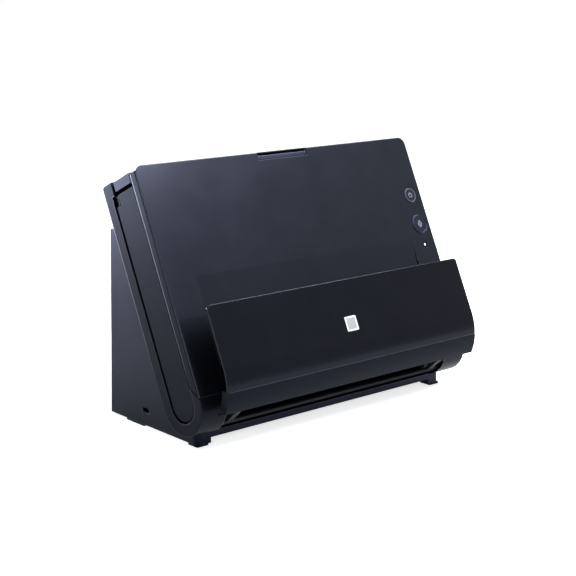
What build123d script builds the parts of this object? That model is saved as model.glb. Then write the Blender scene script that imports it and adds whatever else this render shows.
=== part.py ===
import os
from math import cos, degrees, pi, radians, sin, sqrt

from build123d import *

os.makedirs("parts", exist_ok=True)

# Driving dimensions in millimetres and degrees. The slab that holds the paper path leans back, so most
# places are given on the slab: x across, u up along the slab, n out of its front face. u and n start at
# the middle of the round lower end of the side arms.
body_width = 300.0
lean = 25.3
arm_width = 25.0
ring_radius = 25.8
ring_height = 36.7
rear_top = 189.2
rear_front = -11.3
arm_top = 177.5
arm_front = 16.5
cut_height = 10.1
cut_angle = 3.3
cover_face = 26.4
cover_top = 190.2
band_top = 186.8
shell_wall = 2.4
shell_round = 0.8
rear_edge_radius = 3.0
body_gap = 0.3
fit_gap = 0.05
press_gap = 0.02

# Standing body
stand_inset = 11.0
rear_reach = 117.0
stand_top_reach = 110.9
stand_height = 160.8
stand_top_rise = 1.2
lip_reach = -5.0
lip_height = 6.35
pad_height = 1.5
pad_width = 12.0
front_pad_length = 13.0
rear_pad_length = 26.0
rear_pad_start = 68.0
arch_depth = 13.0
corner_radius = 5.0
back_corner_radius = 1.5
plate_thick = 2.0
boss_radius = 4.0
boss_height = 12.0
screw_radius = 1.2
screw_length = 9.0
screw_head_radius = 2.4
screw_head_height = 1.2
screw_edge = 1.0
boss_rows = (30.0, 98.0)
lock_slot_reach = 64.6
lock_slot_height = 14.7
lock_slot_length = 8.4
lock_slot_width = 4.2
lock_slot_corner = 0.8

# Electronics in the standing body
board_thick = 1.6
board_width = 110.0
board_depth = 60.0
board_inset = 72.3
board_rise = 5.0
board_post_radius = 3.0
board_margin = 8.0
chip_size = 18.0
chip_thick = 1.4
port_overhang = 1.0
inlet_inset = 39.3
inlet_width = 9.0
inlet_height = 11.0
inlet_depth = 14.0
inlet_bore = 2.9
inlet_bore_depth = 9.5
inlet_pin_radius = 1.0
data_port_inset = 71.3
data_port_width = 12.0
data_port_height = 11.0
data_port_depth = 16.0
data_port_wall = 0.7
data_port_bore_depth = 9.0
data_tongue_width = 5.6
data_tongue_height = 3.2

# Side covers
stadium_u = 0.4
stadium_n = 1.55
stadium_radius = 14.35
side_cover_thick = 1.8
side_cover_inset = 0.4
side_groove = 0.7
side_groove_rear = 2.4
side_groove_low = 1.75
side_groove_depth = 5.0
side_cover_edge = 0.4
grip_length = 9.5
grip_width = 5.9

# Paper path
path_rear = -9.0
path_gap = 2.0
guide_thick = 1.6
guide_inset = 2.6
turn_u = 12.0
turn_n = 8.5
turn_guide_inset = 0.6
turn_guide_end = 15.0
exit_guide_end = 68.0
recess_bottom = 94.0
throat_start = 112.0
throat_end = 140.0
throat_depth = 13.0
front_guide_top = 179.0
guide_exit_top = 26.0
roller_window_gap = 1.0
retard_window = 16.6

# Rollers and shafts
nip_gap = 0.3
turn_tyre_radius = 16.4
drive_tyre_radius = 7.0
pinch_tyre_radius = 4.0
turn_pinch_radius = 5.0
tyre_width = 20.0
inner_tyre_x = 30.0
outer_tyre_inset = 21.0
feed_tyre_width = 18.0
feed_tyre_places = (-12.0, 12.0)
drive_u = 64.0
feed_u = 88.0
shaft_radius = 3.0
pinch_shaft_radius = 1.0
retard_shaft_radius = 2.0
bracket_inset = 12.0
bracket_thick = 4.0
bracket_half_width = 4.0
pinch_bracket_cap = 1.9
retard_bracket_inner = 30.0
bush_radius = 4.2
bush_flange_radius = 5.2
bush_flange_thick = 0.6

# Drive
turn_pulley_radius = 12.0
small_pulley_radius = 6.0
motor_pulley_radius = 5.0
belt_thick = 1.0
pulley_width = 3.6
pulley_room = 4.6
shaft_tail = 1.0
belt_gap = 0.02
motor_round = 1.0
belt_width = 3.0
motor_u = 110.0
motor_n = 9.0
motor_radius = 12.0
motor_length = 28.0
motor_shaft_radius = 1.5

# Image sensors
sensor_length = 14.0
rear_sensor_u = 24.0
front_sensor_u = 39.0
sensor_inset = 6.0
front_sensor_depth = 10.0
glass_thick = 1.5
glass_recess = 0.1

# Front unit
skin_thick = 1.1
seam = 0.8
seam_depth = 6.0
cover_round = 0.7
frame_back = arm_front + body_gap
frame_front = 23.0
cover_rim = 2.0
cover_corner = 7.0
cut_gap = 0.5
side_plate_inset = 7.0
side_plate_thick = 1.6
plate_front = 22.9
plate_toe = 3.0
plate_lug_reach = 5.5
plate_lug_half = 3.5
wing_clear = 2.5
wing_rise = 4.0
cross_rail_low = 165.0
cross_rail_high = 171.0
cross_rail_thick = 3.0
top_rail_low = 183.6
plate_top_drop = 3.4
plate_round = 2.0
recess_inset = 3.0
recess_top = 94.6
recess_foot = 50.0
recess_depth = 2.2
pivot_u = -13.0
pivot_n = 20.5
pivot_radius = 2.5
pivot_lug_radius = 5.0
pin_chamfer = 0.4
hinge_bracket_thick = 5.6
chin_inner_radius = 21.2
chin_thick = 2.0
chin_end = 22.0
hinge_arm_thick = 1.8

# Buttons and lamp
power_inset = 13.6
power_u = 134.8
power_radius = 6.7
start_inset = 12.4
start_u = 107.1
start_radius = 9.0
button_rise = 0.5
button_gap = 0.3
button_flange = 0.5
button_flange_thick = 1.2
button_length = 5.0
button_edge = 0.5
lamp_inset = 13.6
lamp_u = 87.7
lamp_ring_radius = 3.2
lamp_radius = 1.3
lamp_ring_sink = 0.3
panel_board_inset = 12.7
panel_board_width = 19.0
panel_board_low = 79.0
panel_board_high = 144.5
panel_board_back = 18.5
switch_size = 6.0
button_travel = 0.8

# Latch at the top of the front cover
latch_x = 2.6
latch_half = 27.0
latch_gap = 0.4
latch_low = 183.2
latch_top = 187.7
latch_back = 22.3
latch_sink = 0.5
latch_swing_gap = 0.15
latch_edge = 0.8
latch_wall_thick = 3.0
latch_lip_thick = 0.8
latch_cheek = 3.0
latch_stem_thick = 1.4
latch_stem_half = 12.0
latch_stem_radius = 2.8
latch_stem_rise = 4.0
leaf_half = 6.0
leaf_grip = 5.0
latch_pivot_u = 174.4
latch_pivot_n = 20.0
latch_shaft_radius = 1.5
latch_shaft_tail = 0.4
hook_gap = 0.6
hook_thick = 2.4
hook_nose_n = 3.0
hook_bend_n = 9.0
hook_arm_thick = 2.4
keeper_reach = 3.2
keeper_low = 172.5
keeper_n = 6.2
keeper_depth = 3.0
leaf_thick = 0.5

# Output tray in front of the front cover
tray_inset = 10.0
tray_top = 66.0
tray_face = 54.2
tray_thick = 2.0
tray_bend_u = 15.0
tray_bend_radius = 44.0
tray_split_angle = 24.8
tray_end_angle = 49.0
tray_seam = 0.4
tray_round = 0.6
tray_corner = 3.0
tray_inner_thick = 1.2
tray_inner_margin = 1.5
tray_inner_low = 16.0
tray_floor_back = 36.0
tray_floor_high = 18.0
tray_web_low = -14.0
tray_floor_inner = 29.5
tray_cheek_depth = 8.0
tray_cheek_thick = 2.5
exit_post_low = 8.0
exit_post_half = 3.0
tray_floor_rise = 1.1
badge_x = -2.0
badge_u = 28.5
badge_size = 12.4
badge_thick = 0.3
badge_corner = 0.6

# Pull-out document support
support_half = 105.0
support_low = 97.0
support_top = 188.9
support_thick = 2.3
support_skin = 0.6
support_clear = 0.2
extension_half = 35.0
extension_low = 99.0
extension_top = 188.4
extension_gap = 0.1
rail_width = 2.7
rail_lip = 3.2
rail_lip_thick = 0.4
rail_low = 100.0
rail_high = 184.0

# Feed cover on top and the document guides under it
feed_cover_inset = 0.4
feed_cover_top = 188.0
feed_cover_thick = 2.2
feed_cover_back = -8.7
feed_cover_front = 16.2
feed_cover_round = 1.0
cheek_low = 180.0
cheek_front = 15.2
cheek_thick = 8.6
hinge_n = -7.6
hinge_pin_radius = 0.9
hinge_barrel_radius = 1.8
hinge_pin_inset = 1.0
hinge_pin_length = 12.0
lug_reach = 4.0
lug_width = 4.0
barrel_reach = 1.0
lug_clear = 2.3
guide_module = 0.8
pinion_teeth = 12
tooth_share = 0.38
tip_share = 0.55
tooth_height = 0.8
tip_gap = 0.2
rack_lead_teeth = 4
rack_phase = 1.5
pinion_n = 5.0
rack_width = 2.2
rack_thick = 1.4
rack_drop = 0.2
document_inset = 17.0
guide_foot_width = 6.0
guide_base_thick = 1.5
fence_thick = 3.0
fence_low = 174.0
fence_back = -6.0
fence_front = 4.0
pinion_pin_radius = 1.5
pinion_head_radius = 3.0
pinion_head_thick = 0.9

# Worked out from the above
body_half = body_width / 2
arm_inner = body_half - arm_width
stand_half = body_half - stand_inset
board_x = stand_half - board_inset
inlet_x = stand_half - inlet_inset
data_port_x = stand_half - data_port_inset
guide_half = arm_inner - guide_inset
chin_half = arm_inner - body_gap
recess_half = arm_inner - recess_inset
side_plate_inner = arm_inner - side_plate_inset
side_plate_outer = side_plate_inner + side_plate_thick
turn_guide_half = side_plate_inner - turn_guide_inset
sensor_half = side_plate_inner - sensor_inset
bracket_inner = side_plate_inner - bracket_inset
outer_tyre_x = bracket_inner - outer_tyre_inset
tyre_places = (-outer_tyre_x, -inner_tyre_x, inner_tyre_x, outer_tyre_x)
guide_inner = arm_inner - document_inset
power_x = body_half - power_inset
start_x = body_half - start_inset
lamp_x = body_half - lamp_inset
panel_board_x = body_half - panel_board_inset
hook_inner = side_plate_outer + hook_gap
latch_shaft_half = hook_inner + hook_thick + latch_shaft_tail
tray_half = body_half - tray_inset
feed_cover_half = body_half - feed_cover_inset
hinge_pin_start = arm_inner - hinge_pin_inset
hinge_pin_end = hinge_pin_start + hinge_pin_length
lug_start = hinge_pin_start + lug_reach
lug_end = lug_start + lug_width
lean_sin = sin(radians(lean))
lean_cos = cos(radians(lean))
rear_face = -ring_radius
path_front = path_rear + path_gap
inner_turn_radius = turn_n - path_front
outer_turn_radius = inner_turn_radius + path_gap
tray_bend_n = tray_face - tray_bend_radius
front_reach = tray_bend_radius + tray_bend_n * lean_cos - tray_bend_u * lean_sin
ring_y = (front_reach - rear_reach) / 2
roller_n = path_front + drive_tyre_radius - (path_gap + nip_gap) / 2 + nip_gap
rear_pinch_n = roller_n - drive_tyre_radius - nip_gap - pinch_tyre_radius
retard_n = roller_n - 2 * drive_tyre_radius - nip_gap
turn_pinch_reach = turn_tyre_radius + nip_gap + turn_pinch_radius
turn_pinch_u = turn_u - turn_pinch_reach
exit_pinch_n = turn_n + turn_pinch_reach
support_back = rear_front
support_front = support_back + support_thick
recess_n = rear_front - support_clear
hinge_u = feed_cover_top - feed_cover_thick / 2
pinion_radius = guide_module * pinion_teeth / 2
belt_middle = side_plate_outer + (arm_inner - side_plate_outer) / 2


def slab_point(u, n):
    """Give the (y, z) place of a point on the slab."""
    return (ring_y + u * lean_sin - n * lean_cos, ring_height + u * lean_cos + n * lean_sin)


def slab_reach(point):
    """Give the (u, n) place on the slab of a point in space."""
    y = point.Y - ring_y
    z = point.Z - ring_height
    return (y * lean_sin + z * lean_cos, z * lean_sin - y * lean_cos)


def side_plane(x):
    """Lie across the slab at x, with u to the right and n upwards, facing +X."""
    return Plane(origin=(x, ring_y, ring_height), x_dir=(0, lean_sin, lean_cos), z_dir=(1, 0, 0))


def face_plane(n):
    """Lie on the slab at depth n, with x to the right and u upwards, facing forwards."""
    return Plane(origin=(0, *slab_point(0, n)), x_dir=(1, 0, 0), z_dir=(0, -lean_cos, lean_sin))


def top_plane(u):
    """Lie across the slab at height u, with x to the right and -n upwards, facing up the slab."""
    return Plane(origin=(0, *slab_point(u, 0)), x_dir=(1, 0, 0), z_dir=(0, lean_sin, lean_cos))


def prism(x_low, x_high, points, mode=Mode.ADD):
    """Extrude a polygon of (u, n) points from one x to another."""
    with BuildSketch(side_plane(x_low)) as outline:
        with BuildLine():
            Polyline(*points, close=True)
        make_face()
    extrude(outline.sketch, amount=x_high - x_low, mode=mode)


def block(x_low, x_high, u_low, u_high, n_low, n_high, mode=Mode.ADD):
    """Fill a box given by its ranges on the slab."""
    corners = ((u_low, n_low), (u_high, n_low), (u_high, n_high), (u_low, n_high))
    prism(x_low, x_high, corners, mode)


def rod(x_low, x_high, u, n, radius, mode=Mode.ADD):
    """Fill a cylinder along X around one (u, n) point."""
    with BuildSketch(side_plane(x_low)) as outline:
        with Locations((u, n)):
            Circle(radius)
    extrude(outline.sketch, amount=x_high - x_low, mode=mode)


def sleeve(x_low, x_high, u, n, outer, inner):
    """Fill a tube wall along X around one (u, n) point."""
    with BuildSketch(side_plane(x_low)) as outline:
        with Locations((u, n)):
            Circle(outer)
            Circle(inner, mode=Mode.SUBTRACT)
    extrude(outline.sketch, amount=x_high - x_low)


def post(x, u, n_low, n_high, radius, mode=Mode.ADD):
    """Fill a cylinder that stands out of the slab's face."""
    with BuildSketch(face_plane(n_low)) as outline:
        with Locations((x, u)):
            Circle(radius)
    extrude(outline.sketch, amount=n_high - n_low, mode=mode)


def arc_band(x_low, x_high, centre, inner, outer, start, end, mode=Mode.ADD):
    """Fill part of a tube wall around centre. Angles start at the bottom and grow towards the front."""
    with BuildSketch(side_plane(x_low)) as outline:
        with BuildLine():
            inside = CenterArc(centre, inner, 180 - end, end - start)
            outside = CenterArc(centre, outer, 180 - end, end - start)
            Line(inside @ 0, outside @ 0)
            Line(inside @ 1, outside @ 1)
        make_face()
    extrude(outline.sketch, amount=x_high - x_low, mode=mode)


def level_block(x, y, z, width, depth, height, mode=Mode.ADD):
    """Fill an upright box from its middle in x and y and its underside in z."""
    with BuildSketch(Plane.XY.offset(z)) as outline:
        with Locations((x, y)):
            Rectangle(width, depth)
    extrude(outline.sketch, amount=height, mode=mode)


def level_post(x, y, z, radius, height, mode=Mode.ADD):
    """Fill an upright cylinder."""
    with BuildSketch(Plane.XY.offset(z)) as outline:
        with Locations((x, y)):
            Circle(radius)
    extrude(outline.sketch, amount=height, mode=mode)


def stadium(x_low, x_high, centre, radius, top, mode=Mode.ADD):
    """Fill a long outline with a round lower end around one (u, n) point."""
    u, n = centre
    with BuildSketch(side_plane(x_low)) as outline:
        with BuildLine():
            Polyline((u, n - radius), (top, n - radius), (top, n + radius), (u, n + radius))
            CenterArc(centre, radius, 90, 180)
        make_face()
    extrude(outline.sketch, amount=x_high - x_low, mode=mode)


def sides(inner, outer):
    """Give the left and the right x range of a pair."""
    return ((-outer, -inner), (inner, outer))


def cut_line(n):
    """Give the height of the slanted lower end of the front unit's side rails at depth n."""
    low_u = -ring_radius * sin(radians(cut_angle))
    low_n = ring_radius * cos(radians(cut_angle))
    slope = (low_u - cut_height) / (low_n - arm_front)
    return cut_height + slope * (n - arm_front) + cut_gap * sqrt(1 + slope**2)


def tooth(x, root, tip):
    """Give the corners of one tooth at x, from its root to its tip."""
    wide = half_tooth * (2 - tip_share)
    narrow = half_tooth * tip_share
    return ((x - wide, root), (x + wide, root), (x + narrow, tip), (x - narrow, tip))


# Standing body
lip_y = ring_y + lip_reach
rear_y = ring_y + rear_reach
stand_top_u = (stand_height + stand_top_rise - ring_height - rear_face * lean_sin) / lean_cos
top_front = slab_point(stand_top_u, rear_face)
slab_foot = slab_point(0, rear_face)
cradle_bottom = (ring_y, ring_height - ring_radius)
lip_top = (lip_y, ring_height - sqrt(ring_radius**2 - lip_reach**2))
with BuildPart() as stand_shell:
    with BuildSketch(Plane.YZ.offset(-stand_half)) as stand_side:
        with BuildLine():
            Polyline(lip_top, (lip_y, pad_height), (rear_y, pad_height),
                     (ring_y + stand_top_reach, stand_height), top_front, slab_foot)
            ThreePointArc(slab_foot, cradle_bottom, lip_top)
        make_face()
    extrude(amount=2 * stand_half)
    fillet(stand_shell.edges().filter_by(Axis.Z).sort_by(Axis.Y)[:2], radius=corner_radius)
    back_edges = stand_shell.faces().sort_by(Axis.Y)[-1].edges().filter_by(Axis.X, reverse=True)
    fillet(back_edges, radius=back_corner_radius)
    with BuildSketch(Plane.YZ.offset(-(stand_half - shell_wall))) as hollow_side:
        add(stand_side.sketch_local)
        offset(amount=-shell_wall, kind=Kind.INTERSECTION, mode=Mode.REPLACE)
        with Locations((lip_y, 0)):
            Rectangle(2 * arch_depth, stand_height, mode=Mode.SUBTRACT)
    extrude(amount=2 * (stand_half - shell_wall), mode=Mode.SUBTRACT)
    plate_front_y = lip_y + arch_depth
    plate_back_y = rear_y - shell_wall
    plate_middle_y = (plate_front_y + plate_back_y) / 2
    plate_depth = plate_back_y - plate_front_y
    level_block(0, plate_middle_y, pad_height, 2 * (stand_half - shell_wall), plate_depth,
                shell_wall, Mode.SUBTRACT)
    level_block(0, lip_y, pad_height, 2 * arm_inner, 2 * (arch_depth - shell_wall),
                lip_height - pad_height, Mode.SUBTRACT)
    boss_x = stand_half - shell_wall - screw_head_radius - screw_edge
    boss_places = [(side * boss_x, lip_y + row) for side in (-1, 1) for row in boss_rows]
    for x, y in boss_places:
        level_post(x, y, pad_height + plate_thick, boss_radius, boss_height)
        level_post(x, y, pad_height + plate_thick, screw_radius, screw_length, Mode.SUBTRACT)
    with BuildSketch(Plane.YZ.offset(-stand_half)) as lock_slot:
        with Locations((ring_y + lock_slot_reach, lock_slot_height)):
            RectangleRounded(lock_slot_length, lock_slot_width, lock_slot_corner)
    extrude(lock_slot.sketch, amount=shell_wall, mode=Mode.SUBTRACT)
    port_floor = pad_height + plate_thick + board_rise + board_thick
    for x, width, height in ((inlet_x, inlet_width, inlet_height),
                             (data_port_x, data_port_width, data_port_height)):
        level_block(x, rear_y - shell_wall / 2, port_floor - body_gap, width + 2 * body_gap,
                    4 * shell_wall, height + 2 * body_gap, Mode.SUBTRACT)
stand_shell.part.label = "stand_shell"
export_step(stand_shell.part, "parts/stand_shell.step")

with BuildPart() as stand_bottom_plate:
    level_block(0, plate_middle_y, pad_height, 2 * (stand_half - shell_wall - body_gap),
                plate_depth - 2 * body_gap, plate_thick)
    for x, y in boss_places:
        level_post(x, y, pad_height, screw_radius, plate_thick, Mode.SUBTRACT)
        level_post(x, y, pad_height, screw_head_radius, screw_head_height, Mode.SUBTRACT)
    board_y = rear_y - shell_wall - port_overhang - board_depth / 2 - 2 * body_gap
    board_z = pad_height + plate_thick + board_rise
    with BuildSketch(Plane.XY.offset(pad_height + plate_thick)) as board_posts:
        with Locations((board_x, board_y)):
            with GridLocations(board_width - board_margin, board_depth - board_margin, 2, 2):
                Circle(board_post_radius)
    extrude(amount=board_rise)
    with BuildSketch(Plane.XY.offset(board_z)) as board_post_holes:
        with Locations((board_x, board_y)):
            with GridLocations(board_width - board_margin, board_depth - board_margin, 2, 2):
                Circle(screw_radius)
    extrude(amount=-board_rise, mode=Mode.SUBTRACT)
stand_bottom_plate.part.label = "stand_bottom_plate"
export_step(stand_bottom_plate.part, "parts/stand_bottom_plate.step")

pad_x = stand_half - pad_width / 2
with BuildPart() as foot_pads:
    for side in (-1, 1):
        level_block(side * pad_x, lip_y + front_pad_length / 2, 0, pad_width, front_pad_length, pad_height)
        level_block(side * pad_x, ring_y + rear_pad_start + rear_pad_length / 2, 0, pad_width,
                    rear_pad_length, pad_height)
    fillet(foot_pads.edges().filter_by(Axis.Z), radius=pad_height)
foot_pads.part.label = "foot_pads"
export_step(foot_pads.part, "parts/foot_pads.step")

with BuildPart() as main_board:
    level_block(board_x, board_y, board_z, board_width, board_depth, board_thick)
    with BuildSketch(Plane.XY.offset(board_z)) as board_holes:
        with Locations((board_x, board_y)):
            with GridLocations(board_width - board_margin, board_depth - board_margin, 2, 2):
                Circle(screw_radius)
    extrude(amount=board_thick, mode=Mode.SUBTRACT)
    with BuildSketch(Plane.XY.offset(board_z + board_thick)) as chips:
        with Locations((board_x - chip_size, board_y)):
            Rectangle(chip_size, chip_size)
        with Locations((board_x + chip_size, board_y - chip_size)):
            Rectangle(chip_size, chip_size / 2)
    extrude(amount=chip_thick)
main_board.part.label = "main_board"
export_step(main_board.part, "parts/main_board.step")

with BuildPart() as body_screws:
    for x, y in boss_places:
        level_post(x, y, pad_height, screw_head_radius, screw_head_height)
        level_post(x, y, pad_height + screw_head_height, screw_radius, screw_length - screw_head_height)
    with BuildSketch(Plane.XY.offset(board_z + board_thick)) as heads:
        with Locations((board_x, board_y)):
            with GridLocations(board_width - board_margin, board_depth - board_margin, 2, 2):
                Circle(screw_head_radius)
    extrude(amount=screw_head_height)
    with BuildSketch(Plane.XY.offset(board_z + board_thick)) as shanks:
        with Locations((board_x, board_y)):
            with GridLocations(board_width - board_margin, board_depth - board_margin, 2, 2):
                Circle(screw_radius)
    extrude(amount=-(board_thick + board_rise))
body_screws.part.label = "body_screws"
export_step(body_screws.part, "parts/body_screws.step")

port_y = rear_y - shell_wall
with BuildPart() as power_inlet:
    level_block(inlet_x, port_y - inlet_depth / 2, port_floor, inlet_width, inlet_depth, inlet_height)
    inlet_mouth = Plane(origin=(inlet_x, port_y, port_floor + inlet_height / 2), x_dir=(1, 0, 0),
                        z_dir=(0, 1, 0))
    with BuildSketch(inlet_mouth) as inlet_hole:
        Circle(inlet_bore)
        Circle(inlet_pin_radius, mode=Mode.SUBTRACT)
    extrude(amount=-inlet_bore_depth, mode=Mode.SUBTRACT)
power_inlet.part.label = "power_inlet"
export_step(power_inlet.part, "parts/power_inlet.step")

with BuildPart() as data_port:
    level_block(data_port_x, port_y - data_port_depth / 2, port_floor, data_port_width,
                data_port_depth, data_port_height)
    data_mouth = Plane(origin=(data_port_x, port_y, port_floor + data_port_height / 2), x_dir=(1, 0, 0),
                       z_dir=(0, 1, 0))
    with BuildSketch(data_mouth) as data_hole:
        Rectangle(data_port_width - 2 * data_port_wall, data_port_height - 2 * data_port_wall)
        Rectangle(data_tongue_width, data_tongue_height, mode=Mode.SUBTRACT)
    extrude(amount=-data_port_bore_depth, mode=Mode.SUBTRACT)
data_port.part.label = "data_port"
export_step(data_port.part, "parts/data_port.step")

# Rear housing: the slab behind the paper path and the two side arms with their round lower ends
cut_low = (-ring_radius * sin(radians(cut_angle)), ring_radius * cos(radians(cut_angle)))
hollow_half = arm_inner - shell_wall
cover_centre = (stadium_u, stadium_n)
seat_radius = stadium_radius + (side_groove + side_groove_rear) / 2
seat_u = stadium_u + seat_radius - stadium_radius - side_groove_low
seat_n = stadium_n + (side_groove - side_groove_rear) / 2
hollow_radius = stadium_radius - shell_wall
hollow_top = arm_top - shell_wall
with BuildPart() as rear_housing:
    for x_low, x_high in sides(arm_inner, body_half):
        with BuildSketch(side_plane(x_low)) as arm_side:
            with BuildLine():
                Polyline(cut_low, (cut_height, arm_front), (arm_top, arm_front), (arm_top, rear_front),
                         (rear_top, rear_front), (rear_top, rear_face), (0, rear_face))
                ThreePointArc((0, rear_face), (-ring_radius, 0), cut_low)
            make_face()
        extrude(amount=x_high - x_low)
    block(-arm_inner, arm_inner, 0, rear_top, rear_face, rear_front)
    fillet(rear_housing.edges().filter_by(Axis.X).sort_by(Axis.Y)[-1], radius=rear_edge_radius)
    for place in (0, -1):
        fillet(rear_housing.faces().sort_by(Axis.X)[place].edges(), radius=shell_round)
    block(-hollow_half, hollow_half, shell_wall, rear_top - shell_wall, rear_face + shell_wall,
          rear_front, Mode.SUBTRACT)
    for side in (-1, 1):
        seat_floor = side * (body_half - side_cover_inset - side_cover_thick)
        groove_floor = side * (body_half - side_groove_depth)
        x_low, x_high = sorted((groove_floor, side * body_half))
        stadium(x_low, x_high, (seat_u, seat_n), seat_radius, arm_top, Mode.SUBTRACT)
        x_low, x_high = sorted((groove_floor, seat_floor))
        stadium(x_low, x_high, cover_centre, stadium_radius, arm_top - side_groove)
        x_low, x_high = sorted((side * (arm_inner + shell_wall), seat_floor))
        stadium(x_low, x_high, cover_centre, hollow_radius, hollow_top, Mode.SUBTRACT)
    for x_low, x_high in sides(lug_start, lug_end):
        rod(x_low, x_high, hinge_u, hinge_n, hinge_barrel_radius)
        block(x_low, x_high, hinge_u - hinge_barrel_radius, hinge_u, rear_front - shell_wall, hinge_n)
        rod(x_low, x_high, hinge_u, hinge_n, hinge_pin_radius + fit_gap, Mode.SUBTRACT)
    for x_low, x_high in sides(arm_inner - keeper_reach, arm_inner):
        block(x_low, x_high, keeper_low, arm_top - body_gap, keeper_n - keeper_depth / 2,
              keeper_n + keeper_depth / 2)
rear_housing.part.label = "rear_housing"
export_step(rear_housing.part, "parts/rear_housing.step")

for name, side in (("left_side_cover", -1), ("right_side_cover", 1)):
    face_x = side * (body_half - side_cover_inset)
    inner_x = face_x - side * side_cover_thick
    with BuildPart() as side_cover:
        stadium(min(face_x, inner_x), max(face_x, inner_x), cover_centre, stadium_radius,
                arm_top - side_groove)
        block(min(face_x, inner_x), max(face_x, inner_x), arm_top - grip_length, arm_top,
              stadium_n - stadium_radius, stadium_n - stadium_radius + grip_width, Mode.SUBTRACT)
        side_edges = side_cover.faces().sort_by(Axis.X)[-1 if side > 0 else 0].edges()
        fillet(side_edges, radius=side_cover_edge)
    side_cover.part.label = name
    export_step(side_cover.part, f"parts/{name}.step")

with BuildPart() as rear_paper_guide:
    prism(-guide_half, guide_half, (
        (turn_u, path_rear), (recess_bottom, path_rear), (recess_bottom + guide_thick, recess_n),
        (rear_top - shell_wall - body_gap, recess_n),
        (rear_top - shell_wall - body_gap, recess_n - guide_thick), (recess_bottom, recess_n - guide_thick),
        (recess_bottom - guide_thick, path_rear - guide_thick), (turn_u, path_rear - guide_thick)))
    for side in (-1, 1):
        rail_inner = support_half + body_gap
        x_low, x_high = sorted((side * rail_inner, side * (rail_inner + rail_width)))
        block(x_low, x_high, rail_low, rail_high, recess_n, support_front + body_gap)
        x_low, x_high = sorted((side * (rail_inner - rail_lip), side * (rail_inner + rail_width)))
        block(x_low, x_high, rail_low, rail_high, support_front + body_gap,
              support_front + body_gap + rail_lip_thick)
    block(-sensor_half - body_gap, sensor_half + body_gap, rear_sensor_u - body_gap,
          rear_sensor_u + sensor_length + body_gap, path_rear - guide_thick, path_rear, Mode.SUBTRACT)
    for x in tyre_places:
        block(x - tyre_width / 2 - roller_window_gap, x + tyre_width / 2 + roller_window_gap,
              drive_u - pinch_tyre_radius - roller_window_gap,
              drive_u + pinch_tyre_radius + roller_window_gap,
              path_rear - guide_thick, path_rear, Mode.SUBTRACT)
    for x in feed_tyre_places:
        block(x - feed_tyre_width / 2 - roller_window_gap, x + feed_tyre_width / 2 + roller_window_gap,
              feed_u - retard_window / 2, feed_u + retard_window / 2,
              recess_n - guide_thick, path_rear, Mode.SUBTRACT)
rear_paper_guide.part.label = "rear_paper_guide"
export_step(rear_paper_guide.part, "parts/rear_paper_guide.step")

with BuildPart() as turn_guide:
    arc_band(-turn_guide_half, turn_guide_half, (turn_u, turn_n), outer_turn_radius,
             outer_turn_radius + guide_thick, -90, -turn_guide_end)
turn_guide.part.label = "turn_guide"
export_step(turn_guide.part, "parts/turn_guide.step")

chin_outer_radius = chin_inner_radius + chin_thick
with BuildPart() as chin_cover:
    arc_band(-chin_half, chin_half, (0, 0), chin_inner_radius, chin_outer_radius, -90, chin_end)
chin_cover.part.label = "chin_cover"
export_step(chin_cover.part, "parts/chin_cover.step")

# The brackets and pins that the front unit turns on
chin_tip = radians(chin_end)
web_radius = chin_inner_radius - hinge_arm_thick
bracket_start = side_plate_inner - body_gap - hinge_bracket_thick
with BuildPart() as hinge_brackets:
    for x_low, x_high in sides(bracket_start, side_plate_inner - body_gap):
        prism(x_low, x_high, (
            (-web_radius * cos(chin_tip), web_radius * sin(chin_tip)),
            (-chin_outer_radius * cos(chin_tip), chin_outer_radius * sin(chin_tip)),
            (pivot_u - pivot_lug_radius, pivot_n), (pivot_u, pivot_n),
            (pivot_u, pivot_n - pivot_lug_radius)))
        rod(x_low, x_high, pivot_u, pivot_n, pivot_lug_radius)
        arc_band(x_low, x_high, (0, 0), web_radius, chin_inner_radius, 0, chin_end)
        rod(x_low, x_high, pivot_u, pivot_n, pivot_radius, Mode.SUBTRACT)
hinge_brackets.part.label = "hinge_brackets"
export_step(hinge_brackets.part, "parts/hinge_brackets.step")

with BuildPart() as hinge_pins:
    for x_low, x_high in sides(bracket_start, side_plate_outer + body_gap):
        rod(x_low, x_high, pivot_u, pivot_n, pivot_radius)
    chamfer(hinge_pins.edges().filter_by(GeomType.CIRCLE), length=pin_chamfer)
hinge_pins.part.label = "hinge_pins"
export_step(hinge_pins.part, "parts/hinge_pins.step")

# Image sensor behind the paper path, and its glass
sensor_back = rear_face + shell_wall
with BuildPart() as rear_image_sensor:
    block(-sensor_half, sensor_half, rear_sensor_u, rear_sensor_u + sensor_length, sensor_back,
          path_rear - glass_recess - glass_thick)
rear_image_sensor.part.label = "rear_image_sensor"
export_step(rear_image_sensor.part, "parts/rear_image_sensor.step")

with BuildPart() as rear_scan_glass:
    block(-sensor_half, sensor_half, rear_sensor_u, rear_sensor_u + sensor_length,
          path_rear - glass_recess - glass_thick, path_rear - glass_recess)
rear_scan_glass.part.label = "rear_scan_glass"
export_step(rear_scan_glass.part, "parts/rear_scan_glass.step")

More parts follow.
